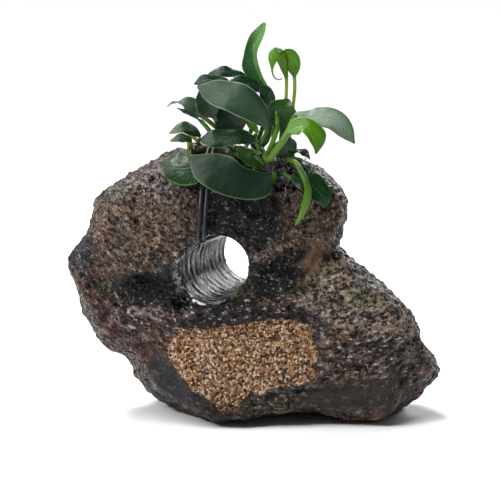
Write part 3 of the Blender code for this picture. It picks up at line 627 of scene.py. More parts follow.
@dataclass(frozen=True)
class LavaFinish:
    """Wet, finely pitted lava with a coarse-grained patch and a glossy drilled hole; its glints, the shade in
    its pits and the reflections in the hole are painted.
    """

    grain: float = 0.8 * MM
    pit: float = 1.5 * MM
    crystal: float = 0.64 * MM
    roughness: float = 0.6

    def build(self) -> bpy.types.Material:
        """Builds the material.

        Returns:
            The material, which reads the marks of Stone.read_marks, the flow and the relief.
        """
        sheet = Sheet("lava")
        ground = sheet.mark("ground", "Vector")
        flow = sheet.mark("flow", "Vector")
        patch, calm, relief, soaked = (sheet.mark(name) for name in ("patch", "calm", "relief", "soaked"))
        bore = sheet.mark("bore").between(0.3, 0.7)

        wide = sheet.noise(9 * MM, 3.0, 0.6)
        drift = sheet.noise(3.2 * MM, 3.0, 0.65)
        scaled = sheet.vectors("MULTIPLY", flow, (0.58, 1.0, 1.0))
        streaks = sheet.noise(1.3 * MM, 3.0, 0.7, 0.4, scaled)
        fine = sheet.noise(self.grain, 3.0, 0.75, 0.6)
        finest = sheet.noise(0.42 * MM, 2.0, 0.6)
        pits = sheet.cells(self.pit, where=sheet.vectors("MULTIPLY", flow, (0.6, 1.0, 1.0))).between(0.34, 0.22)
        tiny_pits = sheet.cells(1.0 * MM).between(0.4, 0.26) * sheet.noise(2.2 * MM).between(0.46, 0.56)
        glint_speck_pick = sheet.part(sheet.cells(0.5 * MM, "Color", where=scaled), "X")

        hue = sheet.ramp(wide, (0.28, seen_colour(110, 118, 132)), (0.42, seen_colour(190, 180, 178)),
                         (0.55, seen_colour(222, 184, 154)), (0.7, seen_colour(214, 164, 148)))
        tinted = sheet.mixed(0.6, ground, sheet.mixed(1.0, ground, hue, "MULTIPLY"))
        # Grain and streaks, plus a relief term that paints shade into low places and light onto raised ones.
        shade = fine.between(0.34, 0.7) * 1.5 + streaks.between(0.38, 0.66) * 1.25 + relief * 0.5 - 0.3
        rough_shade = sheet.mixed(1.0, tinted, sheet.grey(sheet.sums("MAXIMUM", shade, 0.05)), "MULTIPLY")
        even_shade = sheet.mixed(1.0, tinted, sheet.grey(drift * 0.8 + fine * 0.4 + 0.35), "MULTIPLY")
        stone = sheet.mixed(calm, rough_shade, even_shade)
        # Pale specks mixed into the colour: painted glints.
        painted_glint_flecks = glint_speck_pick.between(0.8, 0.86) * streaks.between(0.44, 0.56) * finest.between(0.36, 0.5)
        stone = sheet.mixed(painted_glint_flecks * (1 - calm * 0.7) * 0.75, stone, sheet.mixed(0.66, seen_colour(236, 226, 216), ground))
        # Near-white specks in the wet regions: painted glints.
        glints = glint_speck_pick.between(0.7, 0.78) * streaks.between(0.5, 0.6) * soaked
        stone = sheet.mixed(glints * 0.8, stone, seen_colour(188, 186, 192))
        # Pits and low places darkened towards near black: painted shade.
        pits_with_painted_shade = (pits * 0.8 + tiny_pits + relief.between(-0.5, -1.1) * 0.7).clipped() * (1 - calm * 0.85)
        stone = sheet.mixed(pits_with_painted_shade, stone, seen_colour(14, 12, 13))

        edge = (patch + (sheet.noise(2.2 * MM, 4.0, 0.65) - 0.5) * 1.1).between(0.44, 0.54)
        crystal_kind = sheet.part(sheet.cells(self.crystal, "Color"), "X")
        crystals = sheet.ramp(
            crystal_kind * 0.85 + finest * 0.5 - 0.18,
            (0.1, seen_colour(30, 20, 15)), (0.26, seen_colour(104, 76, 54)),
            (0.48, seen_colour(160, 118, 84)), (0.68, seen_colour(202, 156, 118)),
            (0.86, seen_colour(242, 216, 186)))
        seams = sheet.cells(self.crystal, feature="DISTANCE_TO_EDGE").between(0.14, 0.0)
        amber = sheet.noise(5 * MM, 2.0).between(0.42, 0.68)
        crystals = sheet.mixed(seams * 0.6, crystals, seen_colour(58, 40, 28))
        warm = sheet.mixed(1.0, crystals, (1.0, 0.8, 0.58), "MULTIPLY")
        crystals = sheet.mixed(amber * 0.6, crystals, warm)
        crystals = sheet.mixed(1.0, crystals, sheet.grey(drift * 0.7 + 0.65), "MULTIPLY")
        colour = sheet.mixed(edge, stone, crystals)

        along = sheet.vectors("MULTIPLY", sheet.here(), (1.0, 4.0, 1.0))
        grooves = sheet.noise(6.5 * MM, 4.0, 0.62, 0.6, along)
        # Black and near-white bands along the grooves: painted shade and painted reflections on the hole's wall.
        wall = sheet.ramp(grooves, (0.42, seen_colour(4, 4, 5)), (0.48, seen_colour(34, 36, 39)),
                          (0.55, seen_colour(132, 136, 140)), (0.63, seen_colour(240, 243, 246)))
        colour = sheet.mixed(bore, colour, wall)

        crystal_relief = sheet.cells(self.crystal).between(0.75, 0.0)
        stone_relief = fine * 0.6 + finest * 0.3 + streaks * 0.75 - pits_with_painted_shade * 0.9
        height = (stone_relief * (1 - calm * 0.7)) * (1 - edge) + crystal_relief * 0.6 * edge
        height = height * (1 - bore) + grooves * bore * 1.2
        wet = sheet.noise(1.4 * MM, 3.0, 0.7).between(0.46, 0.56) * (1 - edge * 0.4) * (1 - pits_with_painted_shade)
        rough = self.roughness - wet * 0.46 + (finest - 0.5) * 0.2 - bore * 0.25 - calm * 0.1 - soaked * 0.16
        return sheet.finish(Base_Color=colour, Roughness=sheet.sums("MAXIMUM", rough, 0.12),
                            Normal=sheet.relief(height, 0.8 * MM), Specular_IOR_Level=0.2)


@dataclass(frozen=True)
class LeafFinish:
    """Living leaf with a midrib, side veins, a thin pale margin that is partly painted rim highlight, and a
    satin sheen.

    Attributes:
        name: Name of the finish.
        slot: Slot of the record.
        blade: Colour of the middle of each half.
        rim: Colour towards the margin.
        rib: Colour of the midrib.
        margin: Colour of the margin itself, a pale line that is partly painted rim highlight.
        stalk: Colour of the stalk.
        tip: Colour towards the tip.
        roughness: Roughness of the upper side.
        veins: How strongly the side veins show.
        ribs: How strongly the midrib shows.
        lit: How far the right half is painted lighter, in the colour of the tip, as where light falls on it.
    """

    name: str
    slot: str
    blade: Colour
    rim: Colour
    rib: Colour
    margin: Colour
    stalk: Colour
    tip: Colour
    roughness: float = 0.26
    veins: float = 0.5
    ribs: float = 0.4
    lit: float = 0.0

    def build(self) -> bpy.types.Material:
        """Builds the material.

        Returns:
            The material, which reads the mark place: along, across and upper.
        """
        sheet = Sheet(self.name)
        place = sheet.mark("place", "Vector")
        along, across, upper = (sheet.part(place, axis) for axis in "XYZ")
        off = abs(across)
        on_blade = along.between(-0.04, 0.06)
        wobble = sheet.noise(3 * MM, 2.0)
        side_vein = ((along * 13.0 - off * 3.6 + wobble * 0.35) * math.tau).sine().between(0.72, 1.0)
        side_vein = side_vein * off.between(0.04, 0.2) * off.between(1.0, 0.8) * on_blade
        midrib = off.between(0.085, 0.02) * along.between(1.0, 0.75)
        blotch = sheet.noise(2.4 * MM, 3.0, 0.6)
        mottle = sheet.noise(0.7 * MM, 2.0, 0.6)

        colour = sheet.mixed((off.between(0.35, 1.0) * 0.85 + (blotch - 0.5) * 0.7).clipped(),
                             self.blade, self.rim)
        colour = sheet.mixed(along.between(0.55, 1.0) * 0.8, colour, self.tip)
        colour = sheet.mixed(side_vein * 0.22 * self.veins, colour, self.rib)
        colour = sheet.mixed(midrib * self.ribs, colour, self.rib)
        # Right half painted lighter, as if lit.
        colour = sheet.mixed(across.between(-0.12, 0.12) * self.lit * on_blade, colour, self.tip)
        colour = sheet.mixed(1.0, colour, sheet.grey(mottle * 0.3 + 0.85), "MULTIPLY")
        # Pale margin line: partly the leaf's edge, partly painted rim highlight.
        colour = sheet.mixed((off.between(0.9, 0.98) * 0.85 * on_blade).clipped(), colour, self.margin)
        under = sheet.mixed(0.45, colour, sheet.mixed(0.5, self.rim, self.rib))
        colour = sheet.mixed(upper.between(0.65, 0.35), colour, under)
        colour = sheet.mixed(on_blade, self.stalk, colour)

        swell = sheet.noise(4.5 * MM, 1.0)
        height = (1 - side_vein) * 0.2 * self.veins - midrib * self.ribs + blotch * 0.5 + mottle * 0.12 + swell
        rough = self.roughness + (blotch - 0.5) * 0.14 + upper.between(0.6, 0.4) * 0.14
        return sheet.finish(Base_Color=colour, Roughness=rough.clipped(),
                            Normal=sheet.relief(height, 0.34 * MM, 0.9), Specular_IOR_Level=0.24)


@dataclass(frozen=True)
class StemFinish:
    """Moist stem, root or hair in two colours."""

    name: str
    first: Colour
    second: Colour
    size: float = 1.4 * MM
    roughness: float = 0.32

    def build(self) -> bpy.types.Material:
        """Builds the material.

        Returns:
            The material.
        """
        sheet = Sheet(self.name)
        drift = sheet.noise(self.size, 3.0, 0.6)
        fine = sheet.noise(0.35 * MM, 2.0)
        colour = sheet.mixed(drift.between(0.38, 0.62), self.first, self.second)
        rough = self.roughness + (fine - 0.5) * 0.2
        return sheet.finish(Base_Color=colour, Roughness=rough,
                            Normal=sheet.relief(drift * 0.7 + fine * 0.3, 0.2 * MM),
                            Specular_IOR_Level=0.6)


@dataclass(frozen=True)
class TieFinish:
    """Black, slightly glossy elastic with fine ridges along it."""

    roughness: float = 0.3

    def build(self) -> bpy.types.Material:
        """Builds the material.

        Returns:
            The material.
        """
        sheet = Sheet("black_elastic")
        across = sheet.vectors("MULTIPLY", sheet.here(), (1.0, 0.05, 0.05))
        ridges = sheet.noise(0.32 * MM, 1.0, 0.4, 0.0, across)
        dust = sheet.noise(0.9 * MM, 3.0)
        colour = sheet.mixed(dust.between(0.4, 0.75), seen_colour(20, 27, 30), seen_colour(44, 54, 60))
        return sheet.finish(Base_Color=colour, Roughness=self.roughness + dust * 0.12,
                            Normal=sheet.relief(ridges, 0.12 * MM), Specular_IOR_Level=0.6)


@dataclass(frozen=True)
class Region:
    """A part of the stone's front that has a colour or a surface of its own.

    Attributes:
        outline: Corners on the drawing.
        soft: Squares over which it fades, to each side of its outline.
    """

    outline: Sequence[Pair]
    soft: float

    def share(self, columns: np.ndarray, rows: np.ndarray) -> np.ndarray:
        """Finds how far inside the outline places are.

        Args:
            columns: Columns of the places.
            rows: Rows of the places.

        Returns:
            0 outside, 1 inside, and between them near the outline.
        """
        inside = np.zeros(len(columns), dtype=bool)
        nearest = np.full(len(columns), np.inf)
        corners = list(self.outline)
        for (x1, y1), (x2, y2) in zip(corners, corners[1:] + corners[:1]):
            run_x, run_y = x2 - x1, y2 - y1
            t = ((columns - x1) * run_x + (rows - y1) * run_y) / (run_x ** 2 + run_y ** 2)
            t = np.clip(t, 0.0, 1.0)
            gap = np.hypot(columns - x1 - t * run_x, rows - y1 - t * run_y)
            nearest = np.minimum(nearest, gap)
            if y1 != y2:
                crossing = x1 + (rows - y1) * run_x / run_y
                inside ^= ((y1 > rows) != (y2 > rows)) & (columns < crossing)
        return ease(np.where(inside, nearest, -nearest), -self.soft, self.soft)


def oval(column: float, row: float, wide: float, high: float, soft: float, turn: float = 0.0) -> Region:
    """Makes a region with an oval outline, turned by so many degrees."""
    corners = []
    cosine, sine = math.cos(math.radians(turn)), math.sin(math.radians(turn))
    for k in range(16):
        x, y = wide * math.cos(math.tau * k / 16), high * math.sin(math.tau * k / 16)
        corners.append((column + x * cosine - y * sine, row + x * sine + y * cosine))
    return Region(corners, soft)


@dataclass
class Stone:
    """The pierced lava stone.

    Attributes:
        voxel: Size of the steps that its skin is rebuilt with.
        passes: How often the skin is smoothed.
        bore: Point of the drawing on the axis of the hole, at its near rim.
        bore_radius: Radius of the hole.
        flow_middle: Point of the drawing that the ledges run round.
        pulls: Places that are pulled out, each with squares across and up, and a reach.
        patch: Outline of the coarse-grained patch.
        plain: Its most common colour.
        drift: Size of the wide patches of other shades.
        shades: Those shades, each with a direction of the noise that they grow in.
        grounds_with_painted_light: Regions of its front, each with its colour; some of them are painted shade or
            painted highlights.
        calm: Regions with hardly any pits or grain.
        soaked: Regions that are wet, with lower roughness and painted glints.
    """

    node: str = "stone"
    voxel: float = 0.56 * MM
    passes: int = 16
    bore: Place = (213.5, 268.5, -20.0)
    bore_radius: float = 9.3 * MM
    flow_middle: Pair = (300.0, 60.0)
    pulls: Sequence[tuple[float, float, float, float, float]] = (
        (72, 275, -3, -1, 38), (100, 335, -7, -4, 36), (436, 362, 6, 0, 30), (338, 188, 5, 2, 28),
        (170, 150, 0, 3, 24), (408, 300, 1, 1, 40))
    patch: Region = Region([
        (174, 337), (182, 329), (208, 330), (228, 327), (253, 322), (279, 321), (303, 323), (312, 327),
        (311, 336), (316, 346), (318, 358), (314, 369), (314, 380), (298, 386), (279, 386), (260, 395),
        (250, 390), (238, 402), (228, 415), (220, 411), (211, 402), (194, 392), (182, 377), (171, 362),
        (166, 349)], 6)
    plain: Colour = seen_colour(98, 82, 74)
    drift: float = 21 * MM
    shades: Sequence[tuple[Colour, Place]] = (
        (seen_colour(134, 106, 86), (1, 0, 0)), (seen_colour(52, 47, 47), (-1, 0, 0)),
        (seen_colour(102, 74, 62), (0, 1, 0)), (seen_colour(60, 62, 68), (0, -0.8, 0)),
        (seen_colour(112, 106, 86), (0, 0, 0.7)))
    grounds_with_painted_light: Sequence[tuple[Colour, Region]] = (
        (seen_colour(126, 106, 90), Region([(98, 205), (150, 190), (182, 215), (185, 262), (150, 272),
                                           (112, 272), (92, 240)], 11)),
        # Lighter grey top-left ridge: grey stone with a painted wet highlight.
        (seen_colour(152, 144, 142), Region([(124, 168), (160, 150), (176, 160), (158, 204), (140, 186),
                                             (114, 198)], 9)),
        (seen_colour(86, 48, 36), Region([(76, 285), (118, 300), (140, 330), (160, 345), (140, 362),
                                           (104, 332), (84, 306)], 8)),
        (seen_colour(46, 50, 58), Region([(68, 250), (84, 232), (98, 250), (88, 274), (74, 272)], 7)),
        (seen_colour(44, 42, 46), Region([(146, 345), (180, 360), (210, 404), (190, 420), (150, 398)], 9)),
        (seen_colour(62, 42, 44), Region([(165, 318), (215, 316), (262, 305), (318, 308), (322, 322),
                                          (262, 322), (214, 330), (160, 334)], 6)),
        (seen_colour(160, 146, 134), Region([(316, 268), (345, 262), (400, 300), (418, 335),
                                             (380, 338), (322, 322), (300, 300)], 10)),
        (seen_colour(110, 96, 88), Region([(318, 338), (418, 345), (424, 374), (380, 380), (318, 374)], 9)),
        (seen_colour(60, 56, 55), Region([(316, 388), (380, 378), (424, 384), (396, 412), (330, 414),
                                          (290, 404)], 9)),
        (seen_colour(104, 88, 72), Region([(266, 200), (318, 190), (340, 210), (334, 236), (290, 244)], 10)),
        (seen_colour(118, 92, 62), Region([(303, 252), (318, 241), (328, 243), (326, 262), (312, 272),
                                           (304, 287), (300, 282), (302, 268)], 5)),
        (seen_colour(128, 122, 76), Region([(327, 260), (330, 262), (318, 280), (308, 290), (306, 287)], 3)),
        # Painted shadow of the front leaves on the stone.
        (seen_colour(22, 20, 20), Region([(196, 186), (268, 186), (292, 215), (262, 244), (205, 238)], 11)),
        # Painted shade to the right of the hole.
        (seen_colour(14, 12, 12), Region([(246, 262), (304, 250), (300, 284), (250, 300)], 6)),
        (seen_colour(136, 124, 122), oval(261, 256, 10, 5, 4)),
        # Dark dip left of the hole: partly its own dark surface, mostly painted shade under the overhang.
        (seen_colour(40, 41, 43), Region([(106, 286), (124, 276), (150, 270), (170, 258), (184, 272),
                                          (182, 302), (160, 308), (134, 306), (116, 300)], 11)),
        # Near-black crease below the hole: painted shade.
        (seen_colour(7, 6, 7), Region([(164, 288), (182, 298), (215, 303), (250, 298), (292, 282),
                                        (300, 288), (250, 307), (212, 313), (178, 312), (162, 304)], 4)),
        # Pale purple ridge and its lip: purple stone lightened by painted sheen and glints.
        (seen_colour(132, 114, 120), Region([(112, 300), (118, 318), (134, 333), (152, 338), (148, 343),
                                             (128, 338), (111, 323), (106, 303)], 4)),
        (seen_colour(150, 134, 136), Region([(128, 300), (146, 310), (172, 312), (170, 318), (144, 316),
                                             (124, 306)], 4)),
        # Near-white left rim of the hole: painted highlight.
        (seen_colour(196, 196, 200), Region([(173, 262), (180, 250), (183, 268), (184, 285), (178, 290)], 3)),
        (seen_colour(136, 134, 90), oval(364, 298, 18, 8, 7)),
        (seen_colour(130, 126, 92), oval(333, 268, 5, 12, 5, 25)),
        (seen_colour(126, 120, 82), oval(397, 336, 4, 5, 3)),
        (seen_colour(150, 70, 52), oval(392, 310, 3.5, 3.5, 2.5)),
    )
    calm: Sequence[Region] = (
        Region([(146, 345), (180, 360), (210, 404), (190, 412), (150, 392)], 8),
        Region([(316, 390), (380, 382), (412, 390), (396, 408), (330, 410), (300, 402)], 8),
        Region([(303, 252), (318, 241), (328, 243), (326, 262), (312, 272), (304, 287), (300, 282),
                (302, 268)], 5),
    )
    soaked: Sequence[Region] = (
        Region([(102, 298), (116, 292), (128, 304), (146, 307), (182, 296), (215, 306), (250, 301),
                (292, 286), (306, 292), (318, 312), (318, 322), (262, 322), (214, 330), (150, 338),
                (112, 320)], 4),
        Region([(318, 318), (345, 300), (385, 322), (412, 345), (420, 368), (384, 376), (320, 372)], 10),
    )
    finish: LavaFinish = field(default_factory=LavaFinish)

    def build(self, frame: dict) -> bpy.types.Object:
        """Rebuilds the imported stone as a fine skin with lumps, grain and pits.


        Returns:
            The stone.
        """
        node = frame["nodes"][self.node]
        skin = Bench.copy_of(node, "stone_skin")
        Bench.apply(skin, "REMESH", mode="VOXEL", voxel_size=self.voxel)
        Bench.apply(skin, "SMOOTH", factor=0.5, iterations=self.passes)
        self.pull(skin, search_tree(node))
        marks = self.read_marks(skin)
        self.raise_relief(skin, marks)
        self.turn_bore(skin)
        for name, values in marks.items():
            Bench.mark(skin, name, values)
        return skin

    def pull(self, skin: bpy.types.Object, packed: BVHTree) -> None:
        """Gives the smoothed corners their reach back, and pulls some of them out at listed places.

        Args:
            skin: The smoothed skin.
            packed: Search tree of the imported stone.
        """
        places = Bench.points_of(skin)
        nearest = np.array([packed.find_nearest(Vector(place))[0] for place in places])
        columns, rows, _ = DRAWING.read(places)
        shift = np.zeros_like(places)
        for column, row, across, up, reach in self.pulls:
            near = np.exp(-((columns - column) ** 2 + (rows - row) ** 2) / reach ** 2)[:, None]
            way = DRAWING.right * across + DRAWING.upward * up
            shift += near * np.array(way) * DRAWING.square
        grip = ease(places[:, 2], 1.0 * MM, 6.0 * MM)[:, None]
        Bench.put_points(skin, places + 0.6 * (nearest - places) + shift * grip)

    def raise_relief(self, skin: bpy.types.Object, marks: dict[str, np.ndarray]) -> None:
        """Raises ledges, lumps and pits, which run round a point above the stone.

        Args:
            skin: The smoothed skin.
            marks: Its marks, to which the flow and the relief are added.
        """
        places = Bench.points_of(skin)
        outward = self.directions(skin)
        columns, rows, behind = DRAWING.read(places)
        across, down = columns - self.flow_middle[0], rows - self.flow_middle[1]
        reach = np.hypot(across, down) * DRAWING.square / MM
        turn = np.arctan2(across, down) * 75.0
        flow = np.stack((turn, reach, behind), axis=1)
        layers = np.zeros((4, len(places)))
        for k, (u, v, w) in enumerate(flow):
            layers[0, k] = noise.ridged_multi_fractal(Vector((u / 34, v / 9, w / 12)), 0.9, 2.1, 3, 1.0, 2.0)
            layers[1, k] = noise.fractal(Vector((u / 7.5, v / 3.2, w / 3.6)), 0.8, 2.0, 3)
            layers[2, k] = noise.voronoi(Vector((u / 3.3, v / 2.4, w / 2.6)))[0][0]
            layers[3, k] = noise.fractal(Vector((u / 2.6, v / 1.3, w / 1.4)), 0.8, 2.0, 2)
        ledges = np.clip(layers[0] - 1.2, -1.2, 1.4)
        pits = 1 - ease(layers[2], 0.12, 0.34)
        rough = (1 - marks["calm"] * 0.8) * (1 - marks["patch"] * 0.85)
        height = ledges * 0.4 * rough + layers[1] * 0.8 * rough - pits * 0.6 * rough
        height += layers[3] * 0.35 * rough + marks["patch"] * (layers[3] * 0.25 - 0.3)
        height *= (1 - marks["bore"]) * (1 - marks.pop("foot")) * MM
        Bench.put_points(skin, places + outward * height[:, None])
        marks["flow"] = flow * MM
        marks["relief"] = height / MM

    def read_marks(self, skin: bpy.types.Object) -> dict[str, np.ndarray]:
        """Works out for each point of the skin which part of the stone it belongs to.

        Args:
            skin: The smoothed skin.

        Returns:
            Values by name: ground (a colour, with painted shade and highlights in places), patch, bore, calm,
                soaked and foot.
        """
        places = Bench.points_of(skin)
        outward = self.directions(skin)
        columns, rows, _ = DRAWING.read(places)
        columns = columns + 3.5 * np.sin(rows * 0.31 + columns * 0.13) + 2.0 * np.sin(columns * 0.47)
        rows = rows + 3.0 * np.sin(columns * 0.27 - rows * 0.11) + 2.0 * np.sin(rows * 0.53)
        front = ease(-(outward @ np.array(DRAWING.away)), 0.0, 0.35)
        ground = self.far_ground(places)
        for colour, region in self.grounds_with_painted_light:
            share = (region.share(columns, rows) * front)[:, None]
            ground = ground * (1 - share) + np.array(colour) * share
        calm, soaked = (np.max([region.share(columns, rows) for region in regions], axis=0) * front
                        for regions in (self.calm, self.soaked))
        straight_columns, straight_rows, _ = DRAWING.read(places)
        patch = self.patch.share(straight_columns, straight_rows) * ease(front, 0.3, 0.7)
        axis = DRAWING.place(*self.bore)
        radius = np.hypot(places[:, 0] - axis.x, places[:, 2] - axis.z)
        inward = -((places[:, 0] - axis.x) * outward[:, 0] + (places[:, 2] - axis.z) * outward[:, 2])
        bore = ease(radius, self.bore_radius + 0.9 * MM, self.bore_radius + 0.4 * MM)
        bore = bore * ease(inward / np.maximum(radius, 1e-6), 0.35, 0.6)
        foot = ease(places[:, 2], 2.0 * MM, 0.6 * MM)
        return {"ground": ground, "patch": patch * (1 - bore), "bore": bore, "calm": calm * (1 - bore),
                "soaked": soaked * (1 - bore), "foot": foot}

    def far_ground(self, places: np.ndarray) -> np.ndarray:
        """Colours the stone all over in wide, soft patches of its own shades.

        Args:
            places: Points of the skin.

        Returns:
            A colour for each point.
        """
        drift = np.array([noise.noise_vector(Vector(place) / self.drift) for place in places])
        ground = np.tile(np.array(self.plain), (len(places), 1))
        for colour, turn in self.shades:
            share = ease(drift @ np.array(turn), 0.12, 0.4)[:, None]
            ground = ground * (1 - share) + np.array(colour) * share
        return ground

    @staticmethod
    def directions(skin: bpy.types.Object) -> np.ndarray:
        """Outward directions of the skin's points, one a line."""
        outward = np.empty(len(skin.data.vertices) * 3)
        skin.data.vertices.foreach_get("normal", outward)
        return outward.reshape(-1, 3)

    def turn_bore(self, skin: bpy.types.Object) -> None:
        """Makes the wall of the hole round again, with grooves round it, and levels the foot.

        Args:
            skin: The skin.
        """
        places = Bench.points_of(skin)
        axis = DRAWING.place(*self.bore)
        x, z = places[:, 0] - axis.x, places[:, 2] - axis.z
        radius = np.maximum(np.hypot(x, z), 1e-6)
        turn = np.arctan2(z, x)
        y = places[:, 1] / MM
        ripple = (0.55 * np.sin(y * 1.5 + 1.5 * np.sin(turn * 2 + y * 0.15))
                  + 0.3 * np.sin(y * 2.9 - 1.2 * np.sin(turn * 3 + y * 0.3))
                  + 0.14 * np.sin(y * 4.6 + 1.6 * np.sin(turn * 5)))
        wanted = self.bore_radius + 0.3 * MM * ripple + 0.15 * MM
        near = ease(radius, self.bore_radius + 0.8 * MM, self.bore_radius + 0.3 * MM)
        grown = (radius + (wanted - radius) * near) / radius
        places[:, 0], places[:, 2] = axis.x + x * grown, axis.z + z * grown
        low = places[:, 2] < 0.7 * MM
        places[low, 2] = np.where(places[low, 2] < 0.35 * MM, 0.0, (places[low, 2] - 0.35 * MM) * 2)
        Bench.put_points(skin, places)

    def dress(self, skin: bpy.types.Object) -> None:
        """Gives the stone its finish."""
        Bench.hand_over(skin, self.finish.build(), "stone", self.node)


@dataclass(frozen=True)
class Creeper:
    """Run of the creeping stem, which everything else grows from."""

    places: Sequence[Place] = ((188, 149, -5.5), (213, 149, -6.8), (241, 153, -8.4), (264, 161, -10.4),
                               (288, 173, -12.6))
    radius: float = 2.3 * MM
    gap: float = 0.3 * MM
    start: float = 2.2 * MM

    def start_of(self, along: float, degrees: float) -> list[Vector]:
        """Finds where a stalk or root leaves the stem.

        Args:
            along: How far along the stem, 0 to 1.
            degrees: How far round it from the viewer's side.

        Returns:
            The first two points of the stalk.
        """
        steps = 40
        run = smooth_run([DRAWING.place(*place) for place in self.places], steps + 1)
        k = min(int(along * steps), steps - 1)
        centre = run[k].lerp(run[k + 1], along * steps - k)
        ahead = (run[k + 1] - run[k]).normalized()
        toward = (ahead * ahead.dot(DRAWING.away) - DRAWING.away).normalized()
        side = ahead.cross(toward).normalized()
        if side.z < 0:
            side = -side
        angle = math.radians(degrees)
        out = toward * math.cos(angle) + side * math.sin(angle)
        foot = centre + out * (self.radius + self.gap)
        return [foot, foot + out * self.start]


@dataclass
class Rhizome:
    """The creeping stem, with its rings and knobs."""

    node: str = "rhizome"
    finish: StemFinish = StemFinish("creeping_stem", seen_colour(92, 98, 44), seen_colour(52, 42, 34))

    def build(self, frame: dict) -> bpy.types.Object:
        """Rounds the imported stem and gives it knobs.


        Returns:
            The stem.
        """
        skin = Bench.copy_of(frame["nodes"][self.node], "rhizome_skin")
        Bench.rounded(skin, 3)
        Bench.roughened(skin, "CLOUDS", 1.6 * MM, 0.6 * MM)
        return skin

    def dress(self, skin: bpy.types.Object) -> None:
        """Gives the stem its finish."""
        Bench.hand_over(skin, self.finish.build(), "rhizome", self.node)


class Tone(Enum):
    """The finishes that the leaves have, by their age and how the light finds them; some have sheen painted into
    their colours.
    """

    DARK = LeafFinish("leaf_dark", "leaf_dark", seen_colour(16, 52, 28), seen_colour(10, 42, 14),
                      seen_colour(40, 76, 42), seen_colour(84, 128, 76), seen_colour(56, 100, 28),
                      seen_colour(20, 56, 26), 0.26, 0.5, 0.3)
    # Grey-green middle of the blade, lighter than its rim: painted sheen.
    PAINTED_SHEEN = LeafFinish("leaf_painted_sheen", "leaf_dark", seen_colour(48, 76, 54), seen_colour(22, 54, 28),
                       seen_colour(56, 88, 62), seen_colour(120, 156, 116), seen_colour(48, 94, 28),
                       seen_colour(38, 68, 42), 0.46, 0.3, 0.15)
    NIGHT = LeafFinish("leaf_night", "leaf_dark", seen_colour(20, 44, 28), seen_colour(10, 40, 16),
                       seen_colour(34, 62, 40), seen_colour(84, 126, 82), seen_colour(60, 104, 28),
                       seen_colour(18, 46, 24), 0.36, 0.2, 0.1)
    FRESH = LeafFinish("leaf_fresh", "leaf_dark", seen_colour(16, 58, 20), seen_colour(10, 42, 10),
                       seen_colour(42, 84, 38), seen_colour(80, 130, 60), seen_colour(62, 108, 30),
                       seen_colour(18, 56, 16), 0.26)
    # Its light midrib is partly a painted highlight, and its right half is painted lighter through lit.
    MID = LeafFinish("leaf_mid", "leaf_mid", seen_colour(34, 84, 34), seen_colour(20, 66, 14),
                     seen_colour(130, 172, 100), seen_colour(110, 162, 66), seen_colour(84, 134, 34),
                     seen_colour(100, 150, 68), 0.26, 0.35, 0.7, 0.6)
    DEEP = LeafFinish("leaf_deep", "leaf_mid", seen_colour(30, 74, 14), seen_colour(18, 56, 8),
                      seen_colour(48, 94, 30), seen_colour(90, 130, 40), seen_colour(60, 108, 26),
                      seen_colour(28, 74, 18), 0.28, 0.3)
    YOUNG = LeafFinish("leaf_young", "leaf_young", seen_colour(80, 134, 10), seen_colour(58, 110, 6),
                       seen_colour(144, 180, 72), seen_colour(126, 172, 46), seen_colour(140, 172, 54),
                       seen_colour(76, 128, 16), 0.3, 0.3)
    LIME = LeafFinish("leaf_lime", "leaf_young", seen_colour(84, 134, 16), seen_colour(60, 108, 10),
                      seen_colour(144, 182, 64), seen_colour(140, 184, 70), seen_colour(84, 120, 34),
                      seen_colour(58, 112, 18), 0.3, 0.3)
    OLIVE = LeafFinish("leaf_olive", "leaf_young", seen_colour(70, 112, 18), seen_colour(52, 92, 8),
                       seen_colour(102, 140, 38), seen_colour(100, 140, 40), seen_colour(76, 120, 20),
                       seen_colour(94, 138, 28), 0.3, 0.2)
    PALE = LeafFinish("leaf_pale", "leaf_pale", seen_colour(60, 86, 66), seen_colour(32, 60, 36),
                      seen_colour(92, 118, 92), seen_colour(130, 152, 122), seen_colour(116, 126, 28),
                      seen_colour(108, 124, 106), 0.3, 0.5)
    SHADED = LeafFinish("leaf_shaded", "leaf_pale", seen_colour(32, 62, 32), seen_colour(22, 48, 24),
                        seen_colour(60, 88, 54), seen_colour(98, 124, 88), seen_colour(132, 136, 16),
                        seen_colour(114, 130, 104), 0.28, 0.5)
    # Pale grey-green blade, lighter than its margin: painted sheen.
    GREY = LeafFinish("leaf_grey", "leaf_grey", seen_colour(136, 156, 138), seen_colour(84, 114, 78),
                      seen_colour(156, 182, 146), seen_colour(46, 74, 34), seen_colour(92, 138, 46),
                      seen_colour(84, 120, 72), 0.34, 0.6)


